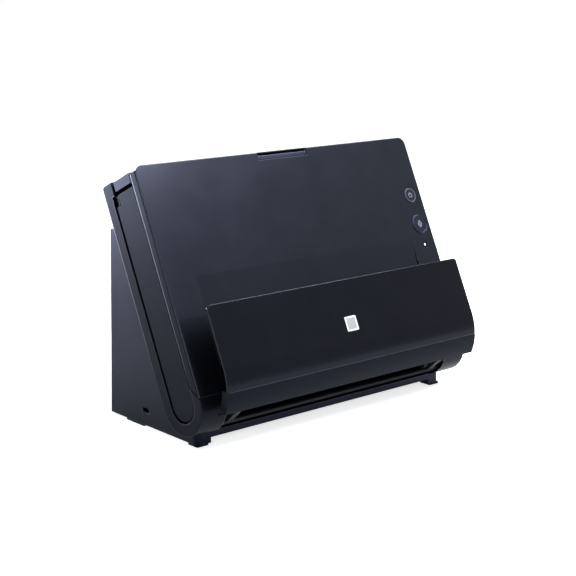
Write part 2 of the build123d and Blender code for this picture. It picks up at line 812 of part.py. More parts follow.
# Rollers carried by the standing body
with BuildPart() as roller_brackets:
    for x_low, x_high in sides(bracket_inner, bracket_inner + bracket_thick):
        block(x_low, x_high, -ring_radius, turn_pinch_u + pinch_bracket_cap, turn_n - bracket_half_width,
              turn_n + bracket_half_width)
    rod(-body_half, body_half, 0, 0, chin_inner_radius, Mode.INTERSECT)
    rod(-body_half, body_half, turn_pinch_u, turn_n, pinch_shaft_radius + fit_gap, Mode.SUBTRACT)
    for x_low, x_high in sides(bracket_inner, bracket_inner + bracket_thick):
        block(x_low, x_high, drive_u - bracket_half_width, drive_u + bracket_half_width, sensor_back,
              path_rear - guide_thick)
        rod(x_low, x_high, drive_u, rear_pinch_n, pinch_shaft_radius + fit_gap, Mode.SUBTRACT)
    for x_low, x_high in sides(retard_bracket_inner, retard_bracket_inner + bracket_thick):
        block(x_low, x_high, feed_u - bracket_half_width, feed_u + bracket_half_width, sensor_back,
              path_rear - guide_thick)
        rod(x_low, x_high, feed_u, retard_n, retard_shaft_radius + fit_gap, Mode.SUBTRACT)
roller_brackets.part.label = "roller_brackets"
export_step(roller_brackets.part, "parts/roller_brackets.step")

pinch_end = bracket_inner + bracket_thick + body_gap
for name, u, n, tyre_radius in (("rear_pinch_roller", drive_u, rear_pinch_n, pinch_tyre_radius),
                                ("turn_pinch_roller", turn_pinch_u, turn_n, turn_pinch_radius),
                                ("exit_pinch_roller", turn_u, exit_pinch_n, turn_pinch_radius)):
    with BuildPart() as pinch_roller:
        rod(-pinch_end, pinch_end, u, n, pinch_shaft_radius)
        for x in tyre_places:
            sleeve(x - tyre_width / 2, x + tyre_width / 2, u, n, tyre_radius,
                   pinch_shaft_radius + press_gap)
    pinch_roller.part.label = name
    export_step(pinch_roller.part, f"parts/{name}.step")

retard_end = retard_bracket_inner + bracket_thick + body_gap
with BuildPart() as retard_roller:
    rod(-retard_end, retard_end, feed_u, retard_n, retard_shaft_radius)
    for x in feed_tyre_places:
        sleeve(x - feed_tyre_width / 2, x + feed_tyre_width / 2, feed_u, retard_n, drive_tyre_radius,
               retard_shaft_radius + press_gap)
retard_roller.part.label = "retard_roller"
export_step(retard_roller.part, "parts/retard_roller.step")

# Document support that pulls up out of the top, and the extension inside it
with BuildPart() as document_support:
    block(-support_half, support_half, support_low, support_top, support_back, support_front)
    pocket_half = extension_half + body_gap
    block(-pocket_half, pocket_half, extension_low - body_gap, support_top, support_back + support_skin,
          support_front - support_skin, Mode.SUBTRACT)
document_support.part.label = "document_support"
export_step(document_support.part, "parts/document_support.step")

with BuildPart() as support_extension:
    block(-extension_half, extension_half, extension_low, extension_top,
          support_back + support_skin + extension_gap, support_front - support_skin - extension_gap)
support_extension.part.label = "support_extension"
export_step(support_extension.part, "parts/support_extension.step")

# Feed cover that closes the top and carries the document guides under it
cover_under = feed_cover_top - feed_cover_thick
with BuildPart() as feed_cover:
    block(-feed_cover_half, feed_cover_half, cover_under, feed_cover_top, feed_cover_back, feed_cover_front)
    fillet(feed_cover.edges().filter_by(Axis.X).sort_by(Axis.Y)[-2:], radius=feed_cover_round)
    for x_low, x_high in sides(feed_cover_half - cheek_thick, feed_cover_half):
        block(x_low, x_high, cheek_low, cover_under, feed_cover_back, cheek_front)
    for x_low, x_high in sides(hinge_pin_start - barrel_reach, hinge_pin_end + barrel_reach):
        rod(x_low, x_high, hinge_u, hinge_n, hinge_barrel_radius)
    for x_low, x_high in sides(lug_start - body_gap, lug_end + body_gap):
        block(x_low, x_high, hinge_u - lug_clear, feed_cover_top + lug_clear, rear_front,
              hinge_n + lug_clear, Mode.SUBTRACT)
    for x_low, x_high in sides(hinge_pin_start, hinge_pin_end):
        rod(x_low, x_high, hinge_u, hinge_n, hinge_pin_radius, Mode.SUBTRACT)
feed_cover.part.label = "feed_cover"
export_step(feed_cover.part, "parts/feed_cover.step")

with BuildPart() as feed_cover_pins:
    for x_low, x_high in sides(hinge_pin_start, hinge_pin_end):
        rod(x_low, x_high, hinge_u, hinge_n, hinge_pin_radius)
feed_cover_pins.part.label = "feed_cover_pins"
export_step(feed_cover_pins.part, "parts/feed_cover_pins.step")

# Two document guides that move apart together: a rack on each, and a pinion between them
rack_high = cover_under - rack_drop
rack_low = rack_high - rack_thick
base_high = rack_low - body_gap
base_low = base_high - guide_base_thick
rack_pitch = pi * guide_module
half_tooth = tooth_share * rack_pitch / 2
tooth_reach = guide_module * tooth_height
tip_reach = tooth_reach - tip_gap
rack_overrun = rack_lead_teeth * rack_pitch
rack_teeth = int(guide_inner / rack_pitch + rack_lead_teeth - rack_phase)
base_front = pinion_n + pinion_radius + tooth_reach + rack_width
for name, side in (("left_document_guide", -1), ("right_document_guide", 1)):
    rack_line = pinion_n - side * pinion_radius
    rack_inner = rack_line - side * tooth_reach
    rack_tip = rack_line + side * tip_reach
    n_low, n_high = sorted((rack_inner, rack_inner - side * rack_width))
    foot_low, foot_high = sorted((side * guide_inner, side * (guide_inner + guide_foot_width)))
    rack_start, rack_end = sorted((side * (guide_inner + guide_foot_width), -side * rack_overrun))
    fence_in, fence_out = sorted((side * guide_inner, side * (guide_inner + fence_thick)))
    with BuildPart() as document_guide:
        block(foot_low, foot_high, base_low, base_high, fence_back, base_front)
        block(foot_low, foot_high, base_high, rack_low, n_low, n_high)
        block(rack_start, rack_end, rack_low, rack_high, n_low, n_high)
        block(fence_in, fence_out, fence_low, base_low, fence_back, fence_front)
        with BuildSketch(top_plane(rack_low)) as rack_side:
            for i in range(rack_teeth):
                tooth_x = side * (i - rack_lead_teeth + rack_phase) * rack_pitch
                Polygon(*tooth(tooth_x, -rack_inner, -rack_tip), align=None)
        extrude(amount=rack_thick)
    document_guide.part.label = name
    export_step(document_guide.part, f"parts/{name}.step")

with BuildPart() as guide_pinion:
    with BuildSketch(top_plane(rack_low)) as pinion_side:
        with Locations((0, -pinion_n)):
            Circle(pinion_radius - tooth_reach)
            with PolarLocations(0, pinion_teeth):
                root = pinion_radius - tooth_reach - half_tooth
                corners = tooth(0, root, pinion_radius + tip_reach)
                Polygon(*[(y, x) for x, y in corners], align=None)
            Circle(pinion_pin_radius + fit_gap, mode=Mode.SUBTRACT)
    extrude(amount=rack_thick)
guide_pinion.part.label = "guide_pinion"
export_step(guide_pinion.part, "parts/guide_pinion.step")

with BuildPart() as pinion_pin:
    with BuildSketch(top_plane(rack_low - body_gap)) as pin_side:
        with Locations((0, -pinion_n)):
            Circle(pinion_pin_radius)
    extrude(amount=cover_under - rack_low + body_gap)
    with BuildSketch(top_plane(rack_low - body_gap)) as pin_head:
        with Locations((0, -pinion_n)):
            Circle(pinion_head_radius)
    extrude(amount=-pinion_head_thick)
pinion_pin.part.label = "pinion_pin"
export_step(pinion_pin.part, "parts/pinion_pin.step")

# Front unit: the frame behind the front cover
rail_inner = arm_inner + body_gap
latch_low_x = latch_x - latch_half - latch_gap
latch_high_x = latch_x + latch_half + latch_gap
rim_front = cover_face - skin_thick - seam
with BuildPart() as front_frame:
    for x_low, x_high in sides(rail_inner, body_half):
        prism(x_low, x_high, (
            (cut_line(frame_back), frame_back), (band_top, frame_back), (band_top, frame_front),
            (cut_line(frame_front), frame_front)))
    for x_low, x_high in sides(body_half - cover_rim, body_half):
        prism(x_low, x_high, (
            (cut_line(frame_front), frame_front), (band_top, frame_front),
            (band_top, rim_front), (cut_line(rim_front), rim_front)))
    block(-rail_inner, rail_inner, cross_rail_low, cross_rail_high, frame_front - cross_rail_thick,
          frame_front)
    block(-rail_inner, latch_low_x, top_rail_low, band_top, frame_back, frame_front)
    block(latch_high_x, rail_inner, top_rail_low, band_top, frame_back, frame_front)
    block(latch_low_x, latch_high_x, top_rail_low, band_top, frame_back, latch_back - latch_gap)
    wall_back = latch_back - latch_gap - latch_wall_thick
    block(latch_low_x, latch_high_x, band_top, cover_top, wall_back, latch_back - latch_gap)
    block(latch_low_x - latch_cheek, latch_low_x + fit_gap, band_top, cover_top, wall_back, frame_front)
    block(latch_high_x - fit_gap, latch_high_x + latch_cheek, band_top, cover_top, wall_back, frame_front)
    block(latch_low_x + fit_gap, latch_high_x - fit_gap, cover_top - latch_lip_thick, cover_top,
          latch_back - latch_gap, cover_face)
    for place in (0, -1):
        fillet(front_frame.faces().sort_by(Axis.X)[place].edges(), radius=cover_round)
    board_low_x = panel_board_x - panel_board_width / 2
    board_high_x = panel_board_x + panel_board_width / 2
    block(board_low_x - body_gap, board_high_x + body_gap, panel_board_low - body_gap,
          panel_board_high + body_gap, panel_board_back, frame_front, Mode.SUBTRACT)
front_frame.part.label = "front_frame"
export_step(front_frame.part, "parts/front_frame.step")

# Front cover with its rounded top corners, the sunk field behind the tray, and its holes
out_of_slab = Axis((0, 0, 0), (0, -lean_cos, lean_sin))
cover_back = cover_face - skin_thick
cover_low = cut_line(cover_back)
with BuildPart() as front_cover:
    with BuildSketch(face_plane(cover_back)) as skin:
        with Locations((0, (cover_low + cover_top) / 2)):
            Rectangle(body_width, cover_top - cover_low)
        fillet(skin.vertices().group_by(Axis.Y)[-1], radius=cover_corner)
    extrude(amount=skin_thick)
    fillet(front_cover.faces().sort_by(out_of_slab)[-1].edges(), radius=cover_round)
    with BuildSketch(face_plane(frame_front)) as backing:
        with Locations((0, (cut_line(frame_front) + cover_top - cover_rim) / 2)):
            Rectangle(body_width - 2 * seam_depth, cover_top - cover_rim - cut_line(frame_front))
        fillet(backing.vertices().group_by(Axis.Y)[-1], radius=cover_corner - cover_rim)
    extrude(amount=cover_back - frame_front)
    block(-recess_half, recess_half, cover_low - cover_rim, guide_exit_top, frame_front, cover_face,
          Mode.SUBTRACT)
    sunk = cover_face - recess_depth
    prism(-recess_half, recess_half, (
        (recess_top, cover_face), (recess_foot, sunk), (guide_exit_top, sunk),
        (guide_exit_top, cover_face)), Mode.SUBTRACT)
    post(power_x, power_u, frame_front, cover_face, power_radius + button_gap, Mode.SUBTRACT)
    post(start_x, start_u, frame_front, cover_face, start_radius + button_gap, Mode.SUBTRACT)
    post(lamp_x, lamp_u, frame_front, cover_face, lamp_ring_radius, Mode.SUBTRACT)
    for x, u, radius in ((power_x, power_u, power_radius), (start_x, start_u, start_radius)):
        post(x, u, frame_front, frame_front + button_flange_thick + button_travel,
             radius + button_flange + button_gap, Mode.SUBTRACT)
    swing_radius = sqrt((latch_low - latch_pivot_u) ** 2 + (cover_face - latch_pivot_n) ** 2)
    notch_inner = latch_pivot_u + sqrt(swing_radius**2 - (frame_front - latch_pivot_n) ** 2)
    prism(latch_low_x, latch_high_x, (
        (latch_low, cover_face), (notch_inner, frame_front), (cover_top + latch_gap, frame_front),
        (cover_top + latch_gap, cover_face)), Mode.SUBTRACT)
    block(latch_x - latch_stem_half - latch_gap, latch_x + latch_stem_half + latch_gap,
          latch_pivot_u - latch_stem_radius - latch_gap, notch_inner, frame_front, cover_back, Mode.SUBTRACT)
front_cover.part.label = "front_cover"
export_step(front_cover.part, "parts/front_cover.step")

# Metal side plates that carry the rollers, the latch and the tray, and turn on the hinge pins
wing_n = tray_face - tray_thick - tray_inner_thick - wing_clear
lug_low = pivot_u - plate_lug_reach
plate_outline = (
    (-plate_toe, 0), (plate_toe, path_front + guide_thick), (throat_start, path_front + guide_thick),
    (throat_end, throat_depth + guide_thick), (band_top - plate_top_drop, throat_depth + guide_thick),
    (band_top - plate_top_drop, plate_front), (cross_rail_high + body_gap, plate_front),
    (cross_rail_high + body_gap, frame_front - cross_rail_thick),
    (cross_rail_low - body_gap, frame_front - cross_rail_thick), (cross_rail_low - body_gap, plate_front),
    (tray_floor_high + wing_rise, plate_front), (tray_floor_high, exit_pinch_n), (tray_floor_high, wing_n),
    (-plate_toe, wing_n - wing_clear), (tray_web_low, tray_floor_back + tray_thick),
    (tray_web_low, tray_floor_inner), (lug_low, pivot_n + plate_lug_half),
    (lug_low, pivot_n - plate_lug_half), (pivot_u + plate_lug_half, turn_n + plate_lug_half))
shaft_end = side_plate_outer + pulley_room
bush_places = ((turn_u, turn_n), (drive_u, roller_n), (feed_u, roller_n))
for name, side in (("left_side_plate", -1), ("right_side_plate", 1)):
    x_low, x_high = sorted((side * side_plate_inner, side * side_plate_outer))
    with BuildPart() as side_plate:
        prism(x_low, x_high, plate_outline)
        rod(x_low, x_high, pivot_u, pivot_n, pivot_radius + fit_gap, Mode.SUBTRACT)
        for u, n in bush_places:
            rod(x_low, x_high, u, n, bush_radius, Mode.SUBTRACT)
        rod(x_low, x_high, latch_pivot_u, latch_pivot_n, latch_shaft_radius + fit_gap, Mode.SUBTRACT)
        if side > 0:
            rod(x_low, x_high, motor_u, motor_n, motor_shaft_radius + body_gap, Mode.SUBTRACT)
        corners = side_plate.edges().filter_by(Axis.X).sort_by(Axis.Z)[:2]
        fillet(corners, radius=plate_round)
    side_plate.part.label = name
    export_step(side_plate.part, f"parts/{name}.step")

with BuildPart() as shaft_bushes:
    for u, n in bush_places:
        for side in (-1, 1):
            x_low, x_high = sorted((side * side_plate_inner, side * side_plate_outer))
            rod(x_low, x_high, u, n, bush_radius)
            x_low, x_high = sorted((side * side_plate_outer, side * (side_plate_outer + bush_flange_thick)))
            rod(x_low, x_high, u, n, bush_flange_radius)
        rod(-shaft_end, shaft_end, u, n, shaft_radius + fit_gap, Mode.SUBTRACT)
shaft_bushes.part.label = "shaft_bushes"
export_step(shaft_bushes.part, "parts/shaft_bushes.step")

# Guide on the front unit's side of the paper path, round the turn and out to the tray
guide_edge = side_plate_inner
with BuildPart() as front_paper_guide:
    prism(-guide_edge, guide_edge, (
        (turn_u, path_front), (throat_start, path_front), (throat_end, throat_depth),
        (front_guide_top, throat_depth), (front_guide_top, throat_depth + guide_thick),
        (throat_end, throat_depth + guide_thick), (throat_start, path_front + guide_thick),
        (turn_u, path_front + guide_thick)))
    arc_band(-guide_edge, guide_edge, (turn_u, turn_n), inner_turn_radius - guide_thick, inner_turn_radius,
             -90, 90)
    block(-guide_edge, guide_edge, turn_u, guide_exit_top, turn_n + inner_turn_radius - guide_thick,
          turn_n + inner_turn_radius)
    block(-sensor_half - body_gap, sensor_half + body_gap, front_sensor_u - body_gap,
          front_sensor_u + sensor_length + body_gap, path_front, path_front + guide_thick, Mode.SUBTRACT)
    window = drive_tyre_radius + roller_window_gap
    for x in tyre_places:
        x_low = x - tyre_width / 2 - roller_window_gap
        x_high = x + tyre_width / 2 + roller_window_gap
        rod(x_low, x_high, turn_u, turn_n, turn_tyre_radius + roller_window_gap, Mode.SUBTRACT)
        rod(x_low, x_high, drive_u, roller_n, window, Mode.SUBTRACT)
    for x in feed_tyre_places:
        rod(x - feed_tyre_width / 2 - roller_window_gap, x + feed_tyre_width / 2 + roller_window_gap,
            feed_u, roller_n, window, Mode.SUBTRACT)
front_paper_guide.part.label = "front_paper_guide"
export_step(front_paper_guide.part, "parts/front_paper_guide.step")

with BuildPart() as exit_guide:
    arc_band(-guide_edge, guide_edge, (turn_u, turn_n), outer_turn_radius, outer_turn_radius + guide_thick,
             turn_guide_end, exit_guide_end)
exit_guide.part.label = "exit_guide"
export_step(exit_guide.part, "parts/exit_guide.step")

with BuildPart() as front_image_sensor:
    block(-guide_edge, guide_edge, front_sensor_u, front_sensor_u + sensor_length,
          path_front + guide_thick, path_front + guide_thick + front_sensor_depth)
front_image_sensor.part.label = "front_image_sensor"
export_step(front_image_sensor.part, "parts/front_image_sensor.step")

with BuildPart() as front_scan_glass:
    block(-sensor_half, sensor_half, front_sensor_u, front_sensor_u + sensor_length,
          path_front + glass_recess, path_front + guide_thick)
front_scan_glass.part.label = "front_scan_glass"
export_step(front_scan_glass.part, "parts/front_scan_glass.step")

# Drive rollers: shafts, tyres and pulleys turned by one belt from the motor
for name, u, n, tyre_radius, width, places, pulley_radius in (
        ("turn", turn_u, turn_n, turn_tyre_radius, tyre_width, tyre_places, turn_pulley_radius),
        ("drive", drive_u, roller_n, drive_tyre_radius, tyre_width, tyre_places, small_pulley_radius),
        ("feed", feed_u, roller_n, drive_tyre_radius, feed_tyre_width, feed_tyre_places,
         small_pulley_radius)):
    with BuildPart() as roller_shaft:
        rod(-side_plate_outer - shaft_tail, shaft_end, u, n, shaft_radius)
        sleeve(belt_middle - pulley_width / 2, belt_middle + pulley_width / 2, u, n, pulley_radius,
               shaft_radius + press_gap)
    roller_shaft.part.label = f"{name}_shaft"
    export_step(roller_shaft.part, f"parts/{name}_shaft.step")
    with BuildPart() as roller_tyres:
        for x in places:
            rod(x - width / 2, x + width / 2, u, n, tyre_radius)
        rod(-shaft_end, shaft_end, u, n, shaft_radius, Mode.SUBTRACT)
    roller_tyres.part.label = f"{name}_tyres"
    export_step(roller_tyres.part, f"parts/{name}_tyres.step")

with BuildPart() as drive_motor:
    rod(side_plate_inner - motor_length, side_plate_inner, motor_u, motor_n, motor_radius)
    fillet(drive_motor.edges().filter_by(GeomType.CIRCLE), radius=motor_round)
    rod(side_plate_inner - motor_length, side_plate_inner, motor_u, motor_n, motor_shaft_radius + body_gap,
        Mode.SUBTRACT)
drive_motor.part.label = "drive_motor"
export_step(drive_motor.part, "parts/drive_motor.step")

with BuildPart() as motor_shaft:
    rod(side_plate_inner - motor_length + shell_wall, shaft_end, motor_u, motor_n, motor_shaft_radius)
    sleeve(belt_middle - pulley_width / 2, belt_middle + pulley_width / 2, motor_u, motor_n,
           motor_pulley_radius, motor_shaft_radius + press_gap)
motor_shaft.part.label = "motor_shaft"
export_step(motor_shaft.part, "parts/motor_shaft.step")

wheels = ((turn_u, turn_n, turn_pulley_radius), (drive_u, roller_n, small_pulley_radius),
          (feed_u, roller_n, small_pulley_radius), (motor_u, motor_n, motor_pulley_radius))
with BuildPart() as drive_belt:
    for extra, mode in ((belt_gap + belt_thick, Mode.ADD), (belt_gap, Mode.SUBTRACT)):
        with BuildSketch(side_plane(belt_middle - belt_width / 2)) as loop:
            for u, n, radius in wheels:
                with Locations((u, n)):
                    Circle(radius + extra)
            make_hull()
        extrude(amount=belt_width, mode=mode)
drive_belt.part.label = "drive_belt"
export_step(drive_belt.part, "parts/drive_belt.step")

# Button board, its switches, the two buttons and the status lamp
board_front = panel_board_back + board_thick
switch_top = cover_face + button_rise - button_length
with BuildPart() as panel_board:
    block(board_low_x, board_high_x, panel_board_low, panel_board_high, panel_board_back, board_front)
    for x, u in ((power_x, power_u), (start_x, start_u)):
        block(x - switch_size / 2, x + switch_size / 2, u - switch_size / 2, u + switch_size / 2,
              board_front + press_gap, switch_top - button_travel - body_gap)
panel_board.part.label = "panel_board"
export_step(panel_board.part, "parts/panel_board.step")

for name, x, u, radius in (("power_button", power_x, power_u, power_radius),
                           ("start_button", start_x, start_u, start_radius)):
    with BuildPart() as button:
        post(x, u, switch_top, cover_face + button_rise, radius)
        top_edge = button.edges().filter_by(GeomType.CIRCLE).sort_by(Axis.Y)[0]
        fillet(top_edge, radius=button_edge)
        flange_low = frame_front + button_travel
        post(x, u, flange_low, flange_low + button_flange_thick - button_gap, radius + button_flange)
    button.part.label = name
    export_step(button.part, f"parts/{name}.step")

with BuildPart() as status_lamp:
    post(lamp_x, lamp_u, frame_front, cover_face - lamp_ring_sink, lamp_ring_radius)
    post(lamp_x, lamp_u, frame_front, cover_face, lamp_radius + press_gap, Mode.SUBTRACT)
    post(lamp_x, lamp_u, board_front, cover_face, lamp_radius)
status_lamp.part.label = "status_lamp"
export_step(status_lamp.part, "parts/status_lamp.step")

# Latch lever in the notch at the top, its shaft, hooks and spring
with BuildPart() as latch_lever:
    block(latch_x - latch_half, latch_x + latch_half, latch_low, latch_top, latch_back,
          cover_face - latch_sink)
    fillet(latch_lever.edges().filter_by(Axis.X).sort_by(Axis.Z)[-2:], radius=latch_edge)
    rod(latch_x - latch_half, latch_x + latch_half, latch_pivot_u, latch_pivot_n,
        swing_radius + latch_swing_gap, Mode.SUBTRACT)
    stem_top = latch_top - latch_edge
    stem_front = latch_back + latch_stem_thick
    prism(latch_x - latch_stem_half, latch_x + latch_stem_half, (
        (latch_pivot_u, latch_pivot_n), (latch_pivot_u, latch_pivot_n + latch_stem_radius),
        (latch_pivot_u + latch_stem_rise, stem_front), (stem_top, stem_front), (stem_top, latch_back),
        (latch_pivot_u + latch_stem_rise, latch_back), (latch_pivot_u + latch_stem_radius, latch_pivot_n)))
    rod(latch_x - latch_stem_half, latch_x + latch_stem_half, latch_pivot_u, latch_pivot_n,
        latch_stem_radius)
    rod(-latch_shaft_half, latch_shaft_half, latch_pivot_u, latch_pivot_n, latch_shaft_radius,
        Mode.SUBTRACT)
latch_lever.part.label = "latch_lever"
export_step(latch_lever.part, "parts/latch_lever.step")

with BuildPart() as latch_shaft:
    for x_low, x_high in sides(hook_inner, hook_inner + hook_thick):
        rod(x_low, x_high, latch_pivot_u, latch_pivot_n, latch_stem_radius)
        prism(x_low, x_high, (
            (latch_pivot_u, latch_pivot_n), (arm_top, hook_bend_n), (arm_top, hook_nose_n),
            (arm_top + hook_arm_thick, hook_nose_n), (arm_top + hook_arm_thick, hook_bend_n),
            (latch_pivot_u + hook_arm_thick, latch_pivot_n)))
        rod(x_low, x_high, latch_pivot_u, latch_pivot_n, latch_shaft_radius + press_gap, Mode.SUBTRACT)
    rod(-latch_shaft_half, latch_shaft_half, latch_pivot_u, latch_pivot_n, latch_shaft_radius)
latch_shaft.part.label = "latch_shaft"
export_step(latch_shaft.part, "parts/latch_shaft.step")

with BuildPart() as latch_spring:
    leaf_top = latch_pivot_u - latch_stem_radius - body_gap
    block(latch_x - leaf_half, latch_x + leaf_half, cross_rail_high - leaf_grip, leaf_top,
          frame_front - cross_rail_thick - leaf_thick, frame_front - cross_rail_thick)
latch_spring.part.label = "latch_spring"
export_step(latch_spring.part, "parts/latch_spring.step")

# Output tray
tray_centre = (tray_bend_u, tray_bend_n)
tray_inner_radius = tray_bend_radius - tray_thick
seam_angle = degrees(tray_seam / tray_bend_radius)
with BuildPart() as tray_panel:
    block(-tray_half, tray_half, tray_bend_u, tray_top, tray_face - tray_thick, tray_face)
    arc_band(-tray_half, tray_half, tray_centre, tray_inner_radius, tray_bend_radius,
             90 - tray_split_angle, 90)
    tray_low = tray_bend_u - tray_bend_radius
    with BuildSketch(face_plane(tray_bend_n)) as tray_front:
        with Locations((0, (tray_low + tray_top) / 2)):
            RectangleRounded(2 * tray_half, tray_top - tray_low, tray_corner)
    extrude(amount=tray_bend_radius, mode=Mode.INTERSECT)
    outer_edges = []
    for edge in tray_panel.edges():
        u, n = slab_reach(edge.center())
        outside = n > tray_face - tray_thick + tray_round / 2
        at_bend = abs(u - tray_bend_u) < body_gap
        if outside and not at_bend and edge.length > 2 * tray_thick:
            outer_edges.append(edge)
    fillet(outer_edges, radius=tray_round)
tray_panel.part.label = "tray_panel"
export_step(tray_panel.part, "parts/tray_panel.step")

with BuildPart() as tray_inner_panel:
    with BuildSketch(face_plane(tray_face - tray_thick - tray_inner_thick)) as tray_back:
        with Locations((0, (tray_inner_low + tray_top - tray_inner_margin) / 2)):
            Rectangle(2 * (tray_half - tray_inner_margin), tray_top - tray_inner_margin - tray_inner_low)
    extrude(amount=tray_inner_thick)
tray_inner_panel.part.label = "tray_inner_panel"
export_step(tray_inner_panel.part, "parts/tray_inner_panel.step")

tray_end = radians(tray_end_angle)
lower_u = tray_bend_u - tray_bend_radius * sin(tray_end)
lower_n = tray_bend_n + tray_bend_radius * cos(tray_end)
with BuildPart() as tray_lower_cover:
    arc_band(-tray_half, tray_half, tray_centre, tray_inner_radius, tray_bend_radius,
             90 - tray_end_angle, 90 - tray_split_angle - seam_angle)
    prism(-tray_half, tray_half, (
        (lower_u, lower_n), (lower_u + tray_floor_rise, tray_floor_inner),
        (lower_u + tray_floor_rise + tray_thick, tray_floor_inner), (lower_u + tray_thick, lower_n)))
    for x_low, x_high in sides(tray_half - tray_cheek_thick, tray_half):
        arc_band(x_low, x_high, tray_centre, tray_bend_radius - tray_cheek_depth, tray_bend_radius,
                 90 - tray_end_angle, 90 - tray_split_angle - seam_angle)
tray_lower_cover.part.label = "tray_lower_cover"
export_step(tray_lower_cover.part, "parts/tray_lower_cover.step")

inner_face = tray_face - tray_thick - tray_inner_thick
with BuildPart() as tray_base:
    block(-guide_edge, guide_edge, tray_floor_high - tray_thick, tray_floor_high, tray_floor_back,
          inner_face)
    block(-guide_edge, guide_edge, lower_u + tray_floor_rise + tray_thick, tray_floor_high, tray_floor_back,
          tray_floor_back + tray_thick)
    for x_low, x_high in sides(bracket_inner, bracket_inner + bracket_thick):
        block(x_low, x_high, exit_post_low, tray_floor_high, exit_pinch_n - exit_post_half, tray_floor_back)
        rod(x_low, x_high, turn_u, exit_pinch_n, pinch_shaft_radius + fit_gap, Mode.SUBTRACT)
tray_base.part.label = "tray_base"
export_step(tray_base.part, "parts/tray_base.step")

with BuildPart() as badge_plate:
    with BuildSketch(face_plane(tray_face)) as badge:
        with Locations((badge_x, badge_u)):
            RectangleRounded(badge_size, badge_size, badge_corner)
    extrude(amount=badge_thick)
badge_plate.part.label = "badge_plate"
export_step(badge_plate.part, "parts/badge_plate.step")
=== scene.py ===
import math
import bmesh
import bpy
from mathutils import Matrix, Vector


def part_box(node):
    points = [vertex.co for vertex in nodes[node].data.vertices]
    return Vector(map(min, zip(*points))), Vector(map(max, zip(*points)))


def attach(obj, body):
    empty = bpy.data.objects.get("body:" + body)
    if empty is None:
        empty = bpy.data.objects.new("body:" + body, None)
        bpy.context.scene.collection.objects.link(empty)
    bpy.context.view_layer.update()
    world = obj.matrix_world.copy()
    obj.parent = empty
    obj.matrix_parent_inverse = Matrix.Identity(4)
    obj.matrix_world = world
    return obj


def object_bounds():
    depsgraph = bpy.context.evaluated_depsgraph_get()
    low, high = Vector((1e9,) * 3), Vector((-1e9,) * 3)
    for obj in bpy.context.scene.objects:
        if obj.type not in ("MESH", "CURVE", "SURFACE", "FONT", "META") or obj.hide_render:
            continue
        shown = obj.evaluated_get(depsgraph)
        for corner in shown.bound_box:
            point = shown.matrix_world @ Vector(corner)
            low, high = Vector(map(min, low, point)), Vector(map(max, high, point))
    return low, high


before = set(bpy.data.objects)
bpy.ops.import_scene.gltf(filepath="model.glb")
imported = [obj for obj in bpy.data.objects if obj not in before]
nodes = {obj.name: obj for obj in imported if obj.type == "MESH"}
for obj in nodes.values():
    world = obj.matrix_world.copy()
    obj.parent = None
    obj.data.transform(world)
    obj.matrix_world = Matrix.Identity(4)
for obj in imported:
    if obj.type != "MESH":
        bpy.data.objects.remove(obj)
cadLow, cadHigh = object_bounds()  # the CAD box, taken before the dressing is added
scene = bpy.context.scene
print("frame loaded:", len(nodes), "nodes")

mm = 0.001  # one millimetre in the frame's metres
down = Vector((0, 0, -1))

# The leaning body: x across, u up the slab and n out of its front face, all from the bottom ring's centre
slab = {"lean": math.radians(25.3), "ringY": -0.035094, "ringZ": 0.0367}
leanSin, leanCos = math.sin(slab["lean"]), math.cos(slab["lean"])
slabAxes = Matrix(((1, 0, 0), (0, leanSin, -leanCos), (0, leanCos, leanSin)))
upSlab = slabAxes @ Vector((0, 1, 0))
outOfSlab = slabAxes @ Vector((0, 0, 1))


def slabPoint(x, u, n):  # millimetres on the slab to metres in the frame
    return Vector((0, slab["ringY"], slab["ringZ"])) + slabAxes @ Vector((x, u, n)) * mm


def slabPlace(x, u, n):  # a flat spot on the slab that faces forwards
    return Matrix.Translation(slabPoint(x, u, n)) @ slabAxes.to_4x4()


def aimAt(item, place, aim):  # cameras and lamps look along their own -Z
    item.location = place
    item.rotation_euler = (Vector(aim) - Vector(place)).to_track_quat("-Z", "Y").to_euler()
    scene.collection.objects.link(item)


# Camera
cameraLook = {"place": (-0.7833, -0.8968, 0.3715), "aim": (-0.0395, -0.0351, 0.1148), "lens": 88.575,
              "sensor": 36.0}
cameraData = bpy.data.cameras.new("studioCamera")
cameraData.lens = cameraLook["lens"]
cameraData.sensor_width = cameraLook["sensor"]
camera = bpy.data.objects.new("studioCamera", cameraData)
aimAt(camera, cameraLook["place"], cameraLook["aim"])
scene.camera = camera
scene.view_settings.view_transform = "Standard"
print("camera set")


# Node helpers
def put(tree, kind, **settings):
    node = tree.nodes.new(kind)
    for key, value in settings.items():
        setattr(node, key, value)
    return node


def feed(tree, socket, value):  # a number is typed in, a socket is linked
    if isinstance(value, bpy.types.NodeSocket):
        tree.links.new(value, socket)
    else:
        socket.default_value = value


def calc(tree, operation, first, second=None, clamp=False):
    node = put(tree, "ShaderNodeMath", operation=operation, use_clamp=clamp)
    feed(tree, node.inputs[0], first)
    if second is not None:
        feed(tree, node.inputs[1], second)
    return node.outputs[0]


def vectorCalc(tree, operation, first, second=None):
    node = put(tree, "ShaderNodeVectorMath", operation=operation)
    feed(tree, node.inputs[0], first)
    if second is not None:
        feed(tree, node.inputs[1], second)
    return node.outputs["Value" if operation in ("DOT_PRODUCT", "LENGTH") else "Vector"]


def objectPlace(tree):
    return put(tree, "ShaderNodeTexCoord").outputs["Object"]


def splitAxes(tree, vector):
    node = put(tree, "ShaderNodeSeparateXYZ")
    feed(tree, node.inputs[0], vector)
    return node.outputs


def stretched(tree, vector, scale, turn=(0.0, 0.0, 0.0)):
    node = put(tree, "ShaderNodeMapping")
    feed(tree, node.inputs["Vector"], vector)
    feed(tree, node.inputs["Rotation"], turn)
    feed(tree, node.inputs["Scale"], scale)
    return node.outputs["Vector"]


